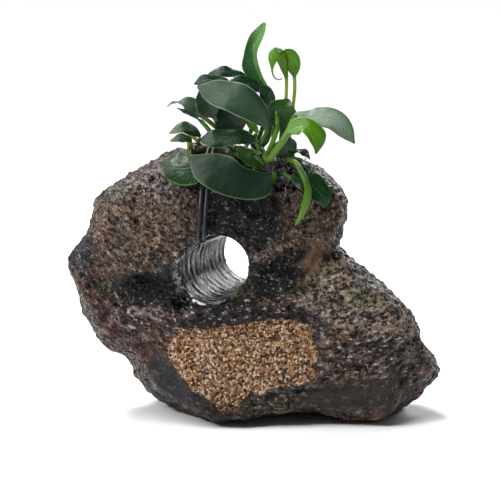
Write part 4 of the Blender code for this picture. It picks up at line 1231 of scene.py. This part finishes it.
@dataclass
class Leaf:
    """One leaf with its stalk, a single skin that goes from a round stalk to a flat blade.

    Attributes:
        node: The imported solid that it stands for.
        tone: Its finish.
        root: How far along the creeping stem it starts, and at how many degrees round it.
        cup: How far its two margins rise above its middle, as a part of their width.
        stalk: Places of the stalk.
        blade: Places of the blade's midrib.
        half: Squares from the midrib to both margins, at even steps.
        face: Directions of its upper side, across, up and towards the viewer.
        stalk_radius: Radius of the stalk in millimetres.
        rolled: Whether it is still rolled up.
        fold: How sharply its halves meet at the midrib.
        wave: How far its margins wave, in millimetres.
        waves: How many waves it has.
        curl: Side, place along, spread and height in millimetres of a turned-up margin.
    """

    node: str
    tone: Tone
    root: Pair
    cup: float
    stalk: Sequence[Place]
    blade: Sequence[Place]
    half: Sequence[Pair]
    face: Sequence[Place]
    stalk_radius: float = 0.7
    rolled: bool = False
    fold: float = 0.1
    wave: float = 0.25
    waves: float = 2.0
    curl: tuple[float, float, float, float] | None = None

    SIDES = 20
    STALK_RINGS = 9
    BLADE_RINGS = 22
    THICKNESS = 0.21 * MM
    TIP = 0.22 * MM
    SETTLE = 0.16

    def shares(self) -> list[float]:
        """Place of each ring: below 0 on the stalk, 0 to 1 on the blade."""
        stalk = [i / self.STALK_RINGS - 1.0 for i in range(self.STALK_RINGS)]
        return stalk + [i / (self.BLADE_RINGS - 1) for i in range(self.BLADE_RINGS)]

    def ring_size(self, share: float) -> tuple[float, float, float]:
        """Finds the size of a ring.

        Args:
            share: Its place.

        Returns:
            Left and right half width, and half thickness, in metres.
        """
        radius = self.stalk_radius * MM
        if share < 0:
            return radius, radius, radius
        settle = min(1.0, share / self.SETTLE)
        left, right = (max(value, 0.0) * DRAWING.square for value in blend_rows(self.half, share))
        flat = min(left, right) * 0.8 if self.rolled else self.THICKNESS * (1 - 0.45 * share)
        narrowest = radius * (1 - settle) + self.TIP * settle
        return max(left, narrowest), max(right, narrowest), radius + (flat - radius) * settle

    def build(self) -> bpy.types.Object:
        """Makes the straight leaf from a cylinder, and lays it along its run.

        Returns:
            The leaf.
        """
        shares = self.shares()
        skin = Bench.tube(f"{self.node}_skin", self.SIDES, len(shares))
        step = 1.0 / (len(shares) - 1)
        with Bench.editing(skin):
            for i, share in enumerate(shares):
                left, right, thick = self.ring_size(share)
                Bench.shape_ring(skin, i * step - 0.5, step / 3, ((left + right) / 2, thick),
                                 (right - left) / 2)
        self.lay(skin, shares)
        Bench.outward(skin)
        Bench.rounded(skin, 1)
        return skin

    def lay(self, skin: bpy.types.Object, shares: Sequence[float]) -> None:
        """Bends the straight leaf along its run, and marks what each point is.

        Args:
            skin: The straight leaf.
            shares: Place of each of its rings.
        """
        run = CREEPER.start_of(*self.root) + [DRAWING.place(*place) for place in self.stalk]
        blade = [DRAWING.place(*place) for place in self.blade]
        steps = 160
        dense = smooth_run(run + blade, steps + 1)
        base = min(range(steps + 1), key=lambda i: (dense[i] - blade[0]).length)
        faces = [tuple(DRAWING.direction(*face)) for face in self.face]
        places = Bench.points_of(skin)
        marks = np.zeros_like(places)
        for k, (x, y, z) in enumerate(places.copy()):
            share = shares[round((z + 0.5) * (len(shares) - 1))]
            stop = base * (1 + share) if share < 0 else base + (steps - base) * share
            i = min(int(stop), steps - 1)
            centre = dense[i].lerp(dense[i + 1], stop - i)
            ahead = dense[min(i + 3, steps)] - dense[max(i - 2, 0)]
            side = ahead.cross(Vector(blend_rows(faces, max(share, 0.0)))).normalized()
            normal = side.cross(ahead).normalized()
            left, right, thick = self.ring_size(share)
            across = x / (right if x > 0 else left)
            lift = self.lift(share, across, max(left, right) if share < 0 else (right if x > 0 else left))
            places[k] = centre + side * x + normal * (y + lift)
            marks[k] = (share, across, 0.5 + 0.5 * y / max(thick, 1e-6))
        Bench.put_points(skin, places)
        Bench.mark(skin, "place", marks)

    def lift(self, share: float, across: float, width: float) -> float:
        """Finds how far a point of the blade stands off its flat plane.

        Args:
            share: Its place along the blade.
            across: Its place across, -1 to 1.
            width: Half width on its side.

        Returns:
            The way out of the plane, in metres.
        """
        if share < 0:
            return 0.0
        settle = min(1.0, share / self.SETTLE)
        out = self.cup * width * across ** 2 + self.fold * width * (abs(across) - 0.25)
        side = 1.0 if across > 0 else -1.0
        phase = math.tau * self.waves * share + side * 1.1 + self.root[0] * 9.0
        out += self.wave * MM * across ** 2 * math.sin(phase) * min(1.0, 4.0 * (1 - share))
        if self.curl and side == self.curl[0]:
            _, middle, spread, height = self.curl
            near = math.exp(-((share - middle) / spread) ** 2)
            out += height * MM * near * float(ease(abs(across), 0.72, 1.0))
        return out * settle

    def dress(self, skin: bpy.types.Object) -> None:
        """Gives the leaf its finish, which leaves of one tone share."""
        Bench.hand_over(skin, leaf_material(self.tone), self.tone.value.slot, self.node)


MATERIALS: dict[Tone, bpy.types.Material] = {}


def leaf_material(tone: Tone) -> bpy.types.Material:
    """Builds the material of a tone once, and returns it again after that."""
    if tone not in MATERIALS:
        MATERIALS[tone] = tone.value.build()
    return MATERIALS[tone]


CREEPER = Creeper()


LEAVES: Sequence[Leaf] = (
    Leaf("leaf_tall", Tone.MID, (0.74, 118), 0.1,
         stalk=[(274, 135, -7), (270, 105, -7)],
         blade=[(266, 87, -8), (261.5, 80, -8.3), (257.5, 71, -8.6), (254.5, 60, -9), (254, 50, -9),
                (257.5, 39, -8.8), (262, 30, -8.3), (265, 22.5, -8)],
         half=[(2, 2), (8.5, 3.2), (11.5, 3.6), (13.5, 4), (10, 5), (8.2, 6.2), (8, 6.4), (6, 5.2),
               (2, 2)],
         face=[(-0.5, 0.1, 0.85), (-0.4, 0.3, 0.85)],
         fold=0.35),
    Leaf("leaf_curled", Tone.YOUNG, (0.84, 112), -0.25,
         stalk=[(283, 135, -7.5), (286, 100, -8)],
         blade=[(286.5, 79, -8.5), (285, 70, -9), (284, 60, -9.8), (281, 52.5, -10.6),
                (275.5, 51, -11.8), (272.5, 57, -12.4), (272, 66, -12.4), (272.2, 73, -12.2),
                (275, 78.5, -12), (279.5, 80, -12), (282.5, 78, -12)],
         half=[(1.6, 1.6), (3.8, 3.8), (6, 6), (7.5, 6.5), (8.5, 6), (8.5, 5.2), (7.4, 5), (5, 3.8),
               (1.6, 1.4), (0.7, 0.7), (0.7, 0.7), (0.7, 0.7)],
         face=[(0.6, 0.2, 0.8), (0.1, 0.6, 0.8), (-0.55, 0.1, 0.85)],
         stalk_radius=0.5),
    Leaf("leaf_cupped", Tone.YOUNG, (0.88, 100), 0.3,
         stalk=[(290, 135, -6.5), (293, 107, -6.5), (295, 90, -6.5)],
         blade=[(294.5, 77, -7), (294.5, 68, -7.5), (293, 60, -8), (289.5, 53.5, -8.5),
                (284, 50, -8.7)],
         half=[(1.6, 1.6), (6, 5), (8.6, 7.6), (8.6, 7.8), (6, 6), (1.6, 1.6)],
         face=[(-0.3, 0.0, 0.95), (-0.2, -0.2, 0.95)],
         stalk_radius=0.52),
    Leaf("leaf_back_top", Tone.DARK, (0.51, 150), -0.2,
         stalk=[(252, 125, -1), (254, 95, -3)],
         blade=[(247, 79, -4), (238, 74, -5), (226, 71, -6), (215, 72, -6), (206, 77, -6)],
         half=[(1.5, 1.5), (4, 4), (5.5, 5.5), (6, 6), (4.5, 4), (0.8, 0.8)],
         face=[(0.0, 0.45, 0.9)],
         wave=0.4,
         waves=2.4),
    Leaf("leaf_back_left", Tone.DARK, (0.45, 120), -0.15,
         stalk=[(240, 125, -5), (236, 95, -8)],
         blade=[(226, 80, -9.5), (216, 80, -10.5), (205, 80, -11), (194, 84, -11)],
         half=[(1.5, 1.5), (5, 5), (6.5, 6.5), (6, 6), (1, 1)],
         face=[(0.0, 0.4, 0.9)]),
    Leaf("leaf_upper_big", Tone.PAINTED_SHEEN, (0.6, 64), -0.1,
         stalk=[(256, 149, -14), (264, 138, -16.8)],
         blade=[(267, 129, -18.5), (261, 117, -20), (249, 105, -21.5), (234, 97, -21.5), (217, 92, -20),
                (197, 86, -17.5)],
         half=[(2, 2), (10, 10), (14.5, 14.5), (16.5, 16.5), (17, 17), (15, 15), (10.5, 10.5),
               (1.5, 1.5)],
         face=[(-0.1, 0.45, 0.85), (-0.2, 0.4, 0.85)],
         wave=0.4,
         waves=2.7),
    Leaf("leaf_beside_upper", Tone.DARK, (0.67, 95), 0.1,
         stalk=[(268, 140, -9.5), (272, 118, -10.5)],
         blade=[(271, 107, -11.5), (269, 98, -12.5), (265, 91, -13), (259, 86, -13)],
         half=[(1.5, 1.5), (7, 6), (8, 7), (6.5, 6), (1, 1)],
         face=[(-0.4, 0.3, 0.85)]),
    Leaf("leaf_behind_upper", Tone.DARK, (0.58, 135), -0.1,
         stalk=[(262, 130, -6.0), (266, 108, -8)],
         blade=[(262, 93, -10), (255, 86, -11.5), (243, 82.5, -12.5), (226, 83, -13.5)],
         half=[(1.5, 1.5), (7, 7), (8.5, 8.5), (7.5, 7.5), (1, 1)],
         face=[(0.0, 0.5, 0.85)]),
    Leaf("leaf_left_pale", Tone.PALE, (0.36, 95), -0.2,
         stalk=[(225, 134, -9), (211, 123, -11.5)],
         blade=[(204, 117, -13), (195, 107, -14), (186, 102, -14.5), (178, 102, -14.5)],
         half=[(2, 2), (9, 7), (10, 9), (7.5, 6.5), (1.5, 1.5)],
         face=[(-0.3, 0.5, 0.8)]),
    Leaf("leaf_left_thread", Tone.PALE, (0.38, 138), 0.3,
         stalk=[(224, 131, -4.5), (204, 118, -8)],
         blade=[(192, 108, -10.5), (182, 103, -11.5), (173, 103, -11.8), (167, 107, -11.8)],
         half=[(1.2, 1.2), (2.4, 2.4), (2, 2), (1.4, 1.4), (0.7, 0.7)],
         face=[(-0.2, 0.8, 0.5)]),
    Leaf("leaf_left_edge", Tone.DARK, (0.36, 30), 0.2,
         stalk=[(217, 142, -14.5), (209, 130, -16)],
         blade=[(202, 122, -16), (193, 116.5, -16.8), (185, 112.5, -17), (177, 108, -17)],
         half=[(1.5, 1.5), (4, 4), (4.5, 4.5), (3, 3), (0.8, 0.8)],
         face=[(-0.4, 0.85, 0.3)]),
    Leaf("leaf_left_dark", Tone.NIGHT, (0.44, 82), 0.2,
         stalk=[(226, 137, -10.5), (219, 126, -13.2)],
         blade=[(215, 118, -14.8), (209, 108, -15.6), (204, 98, -15.6), (200, 89, -15)],
         half=[(2, 2), (10, 11), (11, 12), (8, 8), (1, 1)],
         face=[(-0.3, 0.15, 0.95)]),
    Leaf("leaf_under_upper", Tone.NIGHT, (0.48, 60), 0.15,
         stalk=[(238, 142, -12.5)],
         blade=[(239, 134, -13), (233, 124, -13.8), (226, 115, -14), (218, 109, -13.6)],
         half=[(2, 2), (15, 16), (18, 19), (15, 14), (1.5, 1.5)],
         face=[(-0.2, 0.3, 0.9)]),
    Leaf("leaf_low_left_upper", Tone.SHADED, (0.02, 95), -0.15,
         stalk=[(198, 141, -7.5)],
         blade=[(200, 136.5, -9.5), (192, 130, -11), (182, 128, -12), (169, 133.5, -12)],
         half=[(1.5, 1.5), (6.5, 8), (7, 9), (5, 6.5), (0.8, 0.8)],
         face=[(-0.1, 0.6, 0.8)]),
    Leaf("leaf_low_left_lower", Tone.SHADED, (0.03, 40), -0.15,
         stalk=[(190, 150, -11.5)],
         blade=[(190, 141, -13), (186, 137.5, -14), (179, 137.5, -14.5), (170, 141, -14.5)],
         half=[(2, 2), (5, 4), (5.5, 4.5), (4, 3), (0.8, 0.8)],
         face=[(0.0, 0.4, 0.9)]),
    Leaf("leaf_middle", Tone.DARK, (0.52, 12), -0.2,
         stalk=[(258, 152, -15.8)],
         blade=[(256, 142, -16.5), (243, 136.5, -17.5), (228, 136.5, -18.5), (213, 138, -19),
                (200, 140.5, -18.5)],
         half=[(2, 2), (7, 7.5), (9.5, 10), (11, 11), (11.5, 11.5), (11.5, 11), (9.5, 9.5), (3, 3)],
         face=[(0.15, 0.6, 0.8)],
         wave=0.4,
         waves=1.7),
    Leaf("leaf_front_big", Tone.NIGHT, (0.87, -12), -0.08,
         stalk=[(275, 175, -19)],
         blade=[(273, 178, -20.5), (258, 181.5, -22.5), (242, 181, -24), (226, 177, -24.5),
                (208, 168, -24), (190, 156.5, -22)],
         half=[(3, 3), (15, 9.5), (19, 13), (20, 14), (20, 16), (20, 20), (19.5, 21.5), (18.5, 20.5),
               (16, 17), (10, 10), (2, 2)],
         face=[(0.05, 0.3, 0.95)],
         wave=0.5,
         curl=(-1.0, 0.42, 0.2, 1.5),
         waves=1.8),
    Leaf("leaf_front_left", Tone.FRESH, (0.04, -5), -0.1,
         stalk=[(189, 155, -14.5), (192, 158, -17.8)],
         blade=[(198, 161, -19), (190, 166.5, -18.9), (177, 168, -17.8), (159.5, 163.5, -16)],
         half=[(2, 2), (17, 9), (18, 15), (16.5, 17), (13, 14), (8, 10), (1.5, 1.5)],
         face=[(0.05, 0.15, 0.98)],
         wave=0.45,
         waves=1.6),
    Leaf("leaf_between", Tone.DEEP, (0.67, 5), 0.2,
         stalk=[(264, 165, -16)],
         blade=[(261, 166, -17.5), (252, 162, -20), (243, 156, -21.5), (237, 147, -21.5)],
         half=[(1.5, 1.5), (5, 5), (6.5, 6), (5, 4), (1, 1)],
         face=[(0.1, 0.4, 0.9)]),
    Leaf("leaf_rolled_small", Tone.LIME, (0.5, 84), 0.3,
         stalk=[(248, 144, -11.5), (254, 137, -14.5)],
         blade=[(257, 132, -16.8), (252, 126.5, -17.5), (245, 121, -17.7)],
         half=[(1.5, 1.5), (4, 4), (3.5, 3.5), (1, 1)],
         face=[(0.0, 0.4, 0.9)]),
    Leaf("leaf_young_bright", Tone.LIME, (0.77, 20), -0.15,
         stalk=[(268, 161, -19.5), (277, 149, -21.5), (284, 139, -22.3)],
         blade=[(287, 134, -22.5), (296, 127.5, -23.5), (305, 127, -24.3), (310.5, 134.5, -25),
                (313.5, 144, -25), (316, 154.5, -24.5)],
         half=[(2.5, 2.5), (8.5, 6), (10.5, 9), (11, 9), (13, 7), (16.5, 5), (16, 3), (11.5, 1.2),
               (0.9, 0.9)],
         face=[(-0.25, 0.45, 0.85), (-0.1, 0.45, 0.85), (0.45, 0.25, 0.8), (0.5, 0.2, 0.8)],
         stalk_radius=1.05,
         fold=0.25),
    Leaf("leaf_spike", Tone.OLIVE, (0.69, 55), 0.0,
         stalk=[(265, 156, -15), (271, 146, -17.5)],
         blade=[(277, 130, -19), (277.5, 122, -19), (276, 111, -18.5)],
         half=[(2.4, 2.4), (2.2, 2.2), (1.7, 1.7), (0.8, 0.8)],
         face=[(0.2, 0.2, 0.9)],
         stalk_radius=0.75, rolled=True),
    Leaf("leaf_right_big", Tone.GREY, (0.93, 96), -0.12,
         stalk=[(287, 142, -12.8), (291, 124, -17.2)],
         blade=[(295, 114, -18.5), (308, 117, -20), (321, 118, -20.5), (334, 121, -20.5),
                (345, 130, -20), (355, 144, -19)],
         half=[(1.5, 1.5), (8.5, 8), (14, 11), (16.5, 12), (15.5, 12), (13, 10.5), (9, 7), (0.8, 0.8)],
         face=[(0.1, 0.6, 0.75), (0.35, 0.45, 0.8)],
         wave=0.35,
         waves=1.6),
    Leaf("leaf_right_deep", Tone.DEEP, (0.79, 80), 0.15,
         stalk=[(280, 145, -12)],
         blade=[(282, 132, -13.0), (283.5, 121, -14.6), (284, 110, -15.8), (289, 99, -16)],
         half=[(1.5, 1.5), (13, 12), (17, 15), (14, 13), (2, 2)],
         face=[(-0.1, 0.2, 0.95)]),
    Leaf("leaf_right_dark", Tone.DARK, (0.85, 62), 0.15,
         stalk=[(280, 161, -13.8)],
         blade=[(286, 158, -15), (287, 151, -15.8), (288, 144, -16.3), (288, 136, -16.4)],
         half=[(3, 3), (15, 9), (16, 9), (12, 8), (1, 1)],
         face=[(0.2, 0.2, 0.95)]),
    Leaf("leaf_hanging", Tone.OLIVE, (0.95, 32), 0.0,
         stalk=[(293, 161, -19.8)],
         blade=[(298, 166, -21.5), (305, 179, -22.8), (308, 190, -23.2), (306, 203, -23.2),
                (301, 216, -22.8), (295, 225.5, -22.3)],
         half=[(2.6, 2.6), (3.2, 3.2), (3.6, 3.6), (3.6, 3.6), (3, 3), (0.8, 0.8)],
         face=[(0.3, 0.3, 0.9)],
         rolled=True),
    Leaf("leaf_on_stone", Tone.FRESH, (0.99, -8), -0.05,
         stalk=[(289, 177, -19)],
         blade=[(291, 178, -19.8), (301, 181, -20.4), (312, 187, -20.6), (321, 196, -20.3),
                (326.5, 207, -19.8)],
         half=[(2, 2), (10, 8), (14.5, 9.5), (14, 10), (11, 8.5), (1.5, 1.5)],
         face=[(0.15, 0.3, 0.95)],
         wave=0.4,
         waves=2.2),
    Leaf("leaf_strip", Tone.DARK, (0.99, 62), 0.2,
         stalk=[(295, 159, -16.5)],
         blade=[(300, 160, -17), (306, 165, -19.5), (310, 171, -21.2), (312.5, 177, -21.5)],
         half=[(1.5, 1.5), (2.4, 2.4), (2.4, 2.4), (0.8, 0.8)],
         face=[(0.3, 0.5, 0.8)]),
    Leaf("leaf_small_tip", Tone.DARK, (0.98, 100), -0.1,
         stalk=[(291, 154, -10)],
         blade=[(295, 151, -11), (301, 151, -12), (306, 154, -12.5), (310, 159, -12.8)],
         half=[(1.5, 1.5), (4.5, 4), (4.5, 4), (0.8, 0.8)],
         face=[(0.2, 0.6, 0.75)]),
)


@dataclass
class Root:
    """A thicker root that lies on the stone."""

    node: str
    reach: float = 1.0 * MM
    gap: float = 0.35 * MM
    finish: StemFinish = StemFinish("root", seen_colour(46, 34, 42), seen_colour(92, 74, 62), 1.1 * MM, 0.24)

    def build(self, frame: dict, ground: BVHTree) -> bpy.types.Object:
        """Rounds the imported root, lets it cling to the stone and makes it uneven.

        Args:
            ground: Search tree of the stone.

        Returns:
            The root.
        """
        skin = Bench.copy_of(frame["nodes"][self.node], f"{self.node}_skin")
        Bench.rounded(skin, 2)
        places = Bench.points_of(skin)
        moved = places.copy()
        for k, place in enumerate(places):
            middle = Vector(places[np.linalg.norm(places - place, axis=1) < self.reach].mean(axis=0))
            near, normal = ground.find_nearest(middle)[:2]
            off = (middle - near).length
            if off > self.gap:
                moved[k] += np.array((near - middle) * (1 - self.gap / off)) * float(ease(off, 4 * MM, 2.5 * MM))
        Bench.put_points(skin, moved)
        Bench.roughened(skin, "CLOUDS", 1.0 * MM, 0.25 * MM)
        return skin

    def dress(self, skin: bpy.types.Object) -> None:
        """Gives the root its finish."""
        Bench.hand_over(skin, self.finish.build(), "root", self.node)


@dataclass
class RootHairs:
    """The tangle of fine roots between the creeping stem and the stone.

    Attributes:
        count: How many hairs.
        first: Place and reach of the tangle, on the drawing.
    """

    count: int = 150
    middle: Place = (281, 168, -17.0)
    reach: Place = (15.0, 12.0, 2.6)
    length: Pair = (3.5, 8.0)
    radius: float = 0.17 * MM
    seed: int = 7
    finish: StemFinish = StemFinish("root_hair", seen_colour(18, 16, 28), seen_colour(62, 52, 62),
                                    2.0 * MM, 0.2)

    def build(self, ground: BVHTree) -> bpy.types.Object:
        """Models one hair, and lays copies of it in a tangle that clings to the stone.

        Args:
            ground: Search tree of the stone.

        Returns:
            The hairs, joined into one piece.
        """
        pattern = Bench.tube("root_hairs", 5, 7)
        with Bench.editing(pattern):
            for i in range(7):
                size = self.radius * (1.0 - 0.75 * i / 6)
                Bench.shape_ring(pattern, i / 6 - 0.5, 0.05, (size, size))
        straight = Bench.points_of(pattern)
        dice = random.Random(self.seed)
        hairs = [pattern]
        for k in range(self.count):
            run = self.run(dice, ground)
            hair = pattern if k == 0 else bpy.data.objects.new(f"hair_{k}", pattern.data.copy())
            if k:
                bpy.context.scene.collection.objects.link(hair)
                hairs.append(hair)
            Bench.put_points(hair, self.laid(straight, run))
        Bench.hold(pattern)
        for hair in hairs[1:]:
            hair.select_set(True)
        bpy.ops.object.join()
        Bench.outward(pattern)
        return pattern

    def run(self, dice: random.Random, ground: BVHTree) -> list[Vector]:
        """Picks the run of one hair, which sinks towards the stone and wanders on it."""
        place = [m + r * dice.uniform(-1, 1) for m, r in zip(self.middle, self.reach)]
        point = DRAWING.place(*place)
        heading = DRAWING.direction(dice.uniform(-1, 1), dice.uniform(-1.0, 0.4), dice.uniform(-0.3, 0.5))
        length = dice.uniform(*self.length) * MM
        run = [point]
        for _ in range(6):
            heading = (heading + Vector([dice.uniform(-0.7, 0.7) for _ in range(3)])).normalized()
            point = point + heading * length / 6
            near, normal = ground.find_nearest(point)[:2]
            off = (point - near).dot(normal)
            if off < 0.25 * MM:
                point = point + normal * (0.25 * MM - off)
            elif off > 1.6 * MM:
                point = point - normal * (off - 1.6 * MM) * 0.5
            run.append(point)
        return run

    @staticmethod
    def laid(straight: np.ndarray, run: list[Vector]) -> np.ndarray:
        """Bends a straight tube of height 1 along a run.

        Args:
            straight: Points of the tube.
            run: One point for each ring.

        Returns:
            The points along the run.
        """
        out = np.empty_like(straight)
        for k, (x, y, z) in enumerate(straight):
            i = round((z + 0.5) * (len(run) - 1))
            ahead = run[min(i + 1, len(run) - 1)] - run[max(i - 1, 0)]
            side = ahead.cross(Vector((0.31, 0.2, 1.0))).normalized()
            out[k] = run[i] + side * x + ahead.cross(side).normalized() * y
        return out

    def dress(self, hairs: bpy.types.Object) -> None:
        """Gives the hairs their finish."""
        Bench.hand_over(hairs, self.finish.build(), "root")


@dataclass
class Tie:
    """One closed strand of the black elastic tie."""

    node: str
    finish: TieFinish = field(default_factory=TieFinish)

    def build(self, frame: dict) -> bpy.types.Object:
        """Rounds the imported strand.


        Returns:
            The strand.
        """
        skin = Bench.copy_of(frame["nodes"][self.node], f"{self.node}_skin")
        Bench.rounded(skin, 2)
        return skin

    def dress(self, skin: bpy.types.Object) -> None:
        """Gives the strand its finish."""
        Bench.hand_over(skin, self.finish.build(), "tie", self.node)


@dataclass
class Studio:
    """Pale floor, soft lights and the camera of the drawing."""

    floor_size: float = 80.0
    floor_colour: Colour = (0.93, 0.93, 0.93)
    sky: float = 0.14
    lens: float = 144.0

    def build(self) -> None:
        """Sets up the floor, the lights and the camera."""
        bpy.context.scene.view_settings.view_transform = "Standard"
        self.add_floor()
        self.add_sky()
        self.add_sun((-0.35, 0.3, 0.9), 3.6, 25.0)
        self.add_lamp("box", (-0.25, -0.35, 0.65), 0.7, 7.0)
        self.add_lamp("front", (-0.35, -0.5, 0.4), 0.05, 2.0)
        self.add_lamp("back", (0.1, 0.6, 0.35), 0.4, 3.5)
        self.add_camera()

    def add_sun(self, place: Place, strength: float, spread: float) -> None:
        """Adds wide, even light from one side.

        Args:
            place: Where it comes from.
            strength: Its strength.
            spread: How many degrees wide it is.
        """
        light = bpy.data.lights.new("sun", "SUN")
        light.energy, light.angle = strength, math.radians(spread)
        holder = bpy.data.objects.new("sun", light)
        holder.location = place
        holder.rotation_euler = Vector(place).to_track_quat("Z", "Y").to_euler()
        bpy.context.scene.collection.objects.link(holder)

    def add_floor(self) -> None:
        """Adds a wide, flat floor."""
        Bench.clear()
        bpy.ops.mesh.primitive_plane_add(size=self.floor_size)
        floor = bpy.context.object
        floor.name = "floor"
        sheet = Sheet("floor")
        floor.data.materials.append(sheet.finish(Base_Color=self.floor_colour, Roughness=0.9))

    def add_sky(self) -> None:
        """Fills the room with white light, brighter near the floor."""
        world = bpy.data.worlds.new("room")
        world.use_nodes = True
        tree = world.node_tree
        place = tree.nodes.new("ShaderNodeTexCoord")
        parts = tree.nodes.new("ShaderNodeSeparateXYZ")
        fade = tree.nodes.new("ShaderNodeMapRange")
        tree.links.new(place.outputs["Generated"], parts.inputs[0])
        tree.links.new(parts.outputs["Z"], fade.inputs["Value"])
        tree.links.new(fade.outputs["Result"], tree.nodes["Background"].inputs["Strength"])
        for name, value in (("From Min", 0.01), ("From Max", 0.1), ("To Min", 1.0), ("To Max", self.sky)):
            fade.inputs[name].default_value = value
        tree.nodes["Background"].inputs["Color"].default_value = (1.0, 1.0, 1.0, 1.0)
        bpy.context.scene.world = world

    def add_lamp(self, name: str, place: Place, size: float, power: float) -> None:
        """Adds a square soft light that looks at the stone.

        Args:
            name: Its name.
            place: Where it hangs, in metres.
            size: Its side.
            power: Its power in watts.
        """
        lamp = bpy.data.lights.new(name, "AREA")
        lamp.shape, lamp.size, lamp.energy = "SQUARE", size, power
        holder = bpy.data.objects.new(name, lamp)
        holder.location = place
        holder.rotation_euler = (DRAWING.aim - Vector(place)).to_track_quat("-Z", "Y").to_euler()
        bpy.context.scene.collection.objects.link(holder)

    def add_camera(self) -> None:
        """Puts the camera where the viewer of the drawing is."""
        camera = bpy.data.cameras.new("camera")
        camera.lens, camera.sensor_width = self.lens, 36.0
        camera.clip_start, camera.clip_end = 0.01, 100.0
        holder = bpy.data.objects.new("camera", camera)
        holder.location = DRAWING.aim - DRAWING.away * DRAWING.distance
        holder.rotation_euler = DRAWING.away.to_track_quat("-Z", "Y").to_euler()
        bpy.context.scene.collection.objects.link(holder)
        bpy.context.scene.camera = holder


def search_tree(obj: bpy.types.Object) -> BVHTree:
    """Makes a search tree of an object's mesh."""
    return BVHTree.FromPolygons([point.co for point in obj.data.vertices],
                                [face.vertices for face in obj.data.polygons])


def main() -> None:
    """Builds and dresses every piece."""
    logging.basicConfig(level=logging.INFO, format="%(message)s")
    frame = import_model()
    Studio().build()

    stone = Stone()
    skin = stone.build(frame)
    stone.dress(skin)
    rhizome = Rhizome()
    rhizome.dress(rhizome.build(frame))
    for node in ("root_front_right", "root_front_middle", "root_front_left", "root_back_right",
                 "root_back_middle"):
        root = Root(node)
        root.dress(root.build(frame, search_tree(skin)))
    for leaf in LEAVES:
        leaf.dress(leaf.build())
    hairs = RootHairs()
    hairs.dress(hairs.build(search_tree(skin)))
    for node in ("tie_outer", "tie_inner"):
        tie = Tie(node)
        tie.dress(tie.build(frame))

    Bench.clear()


if __name__ == "__main__":
    main()
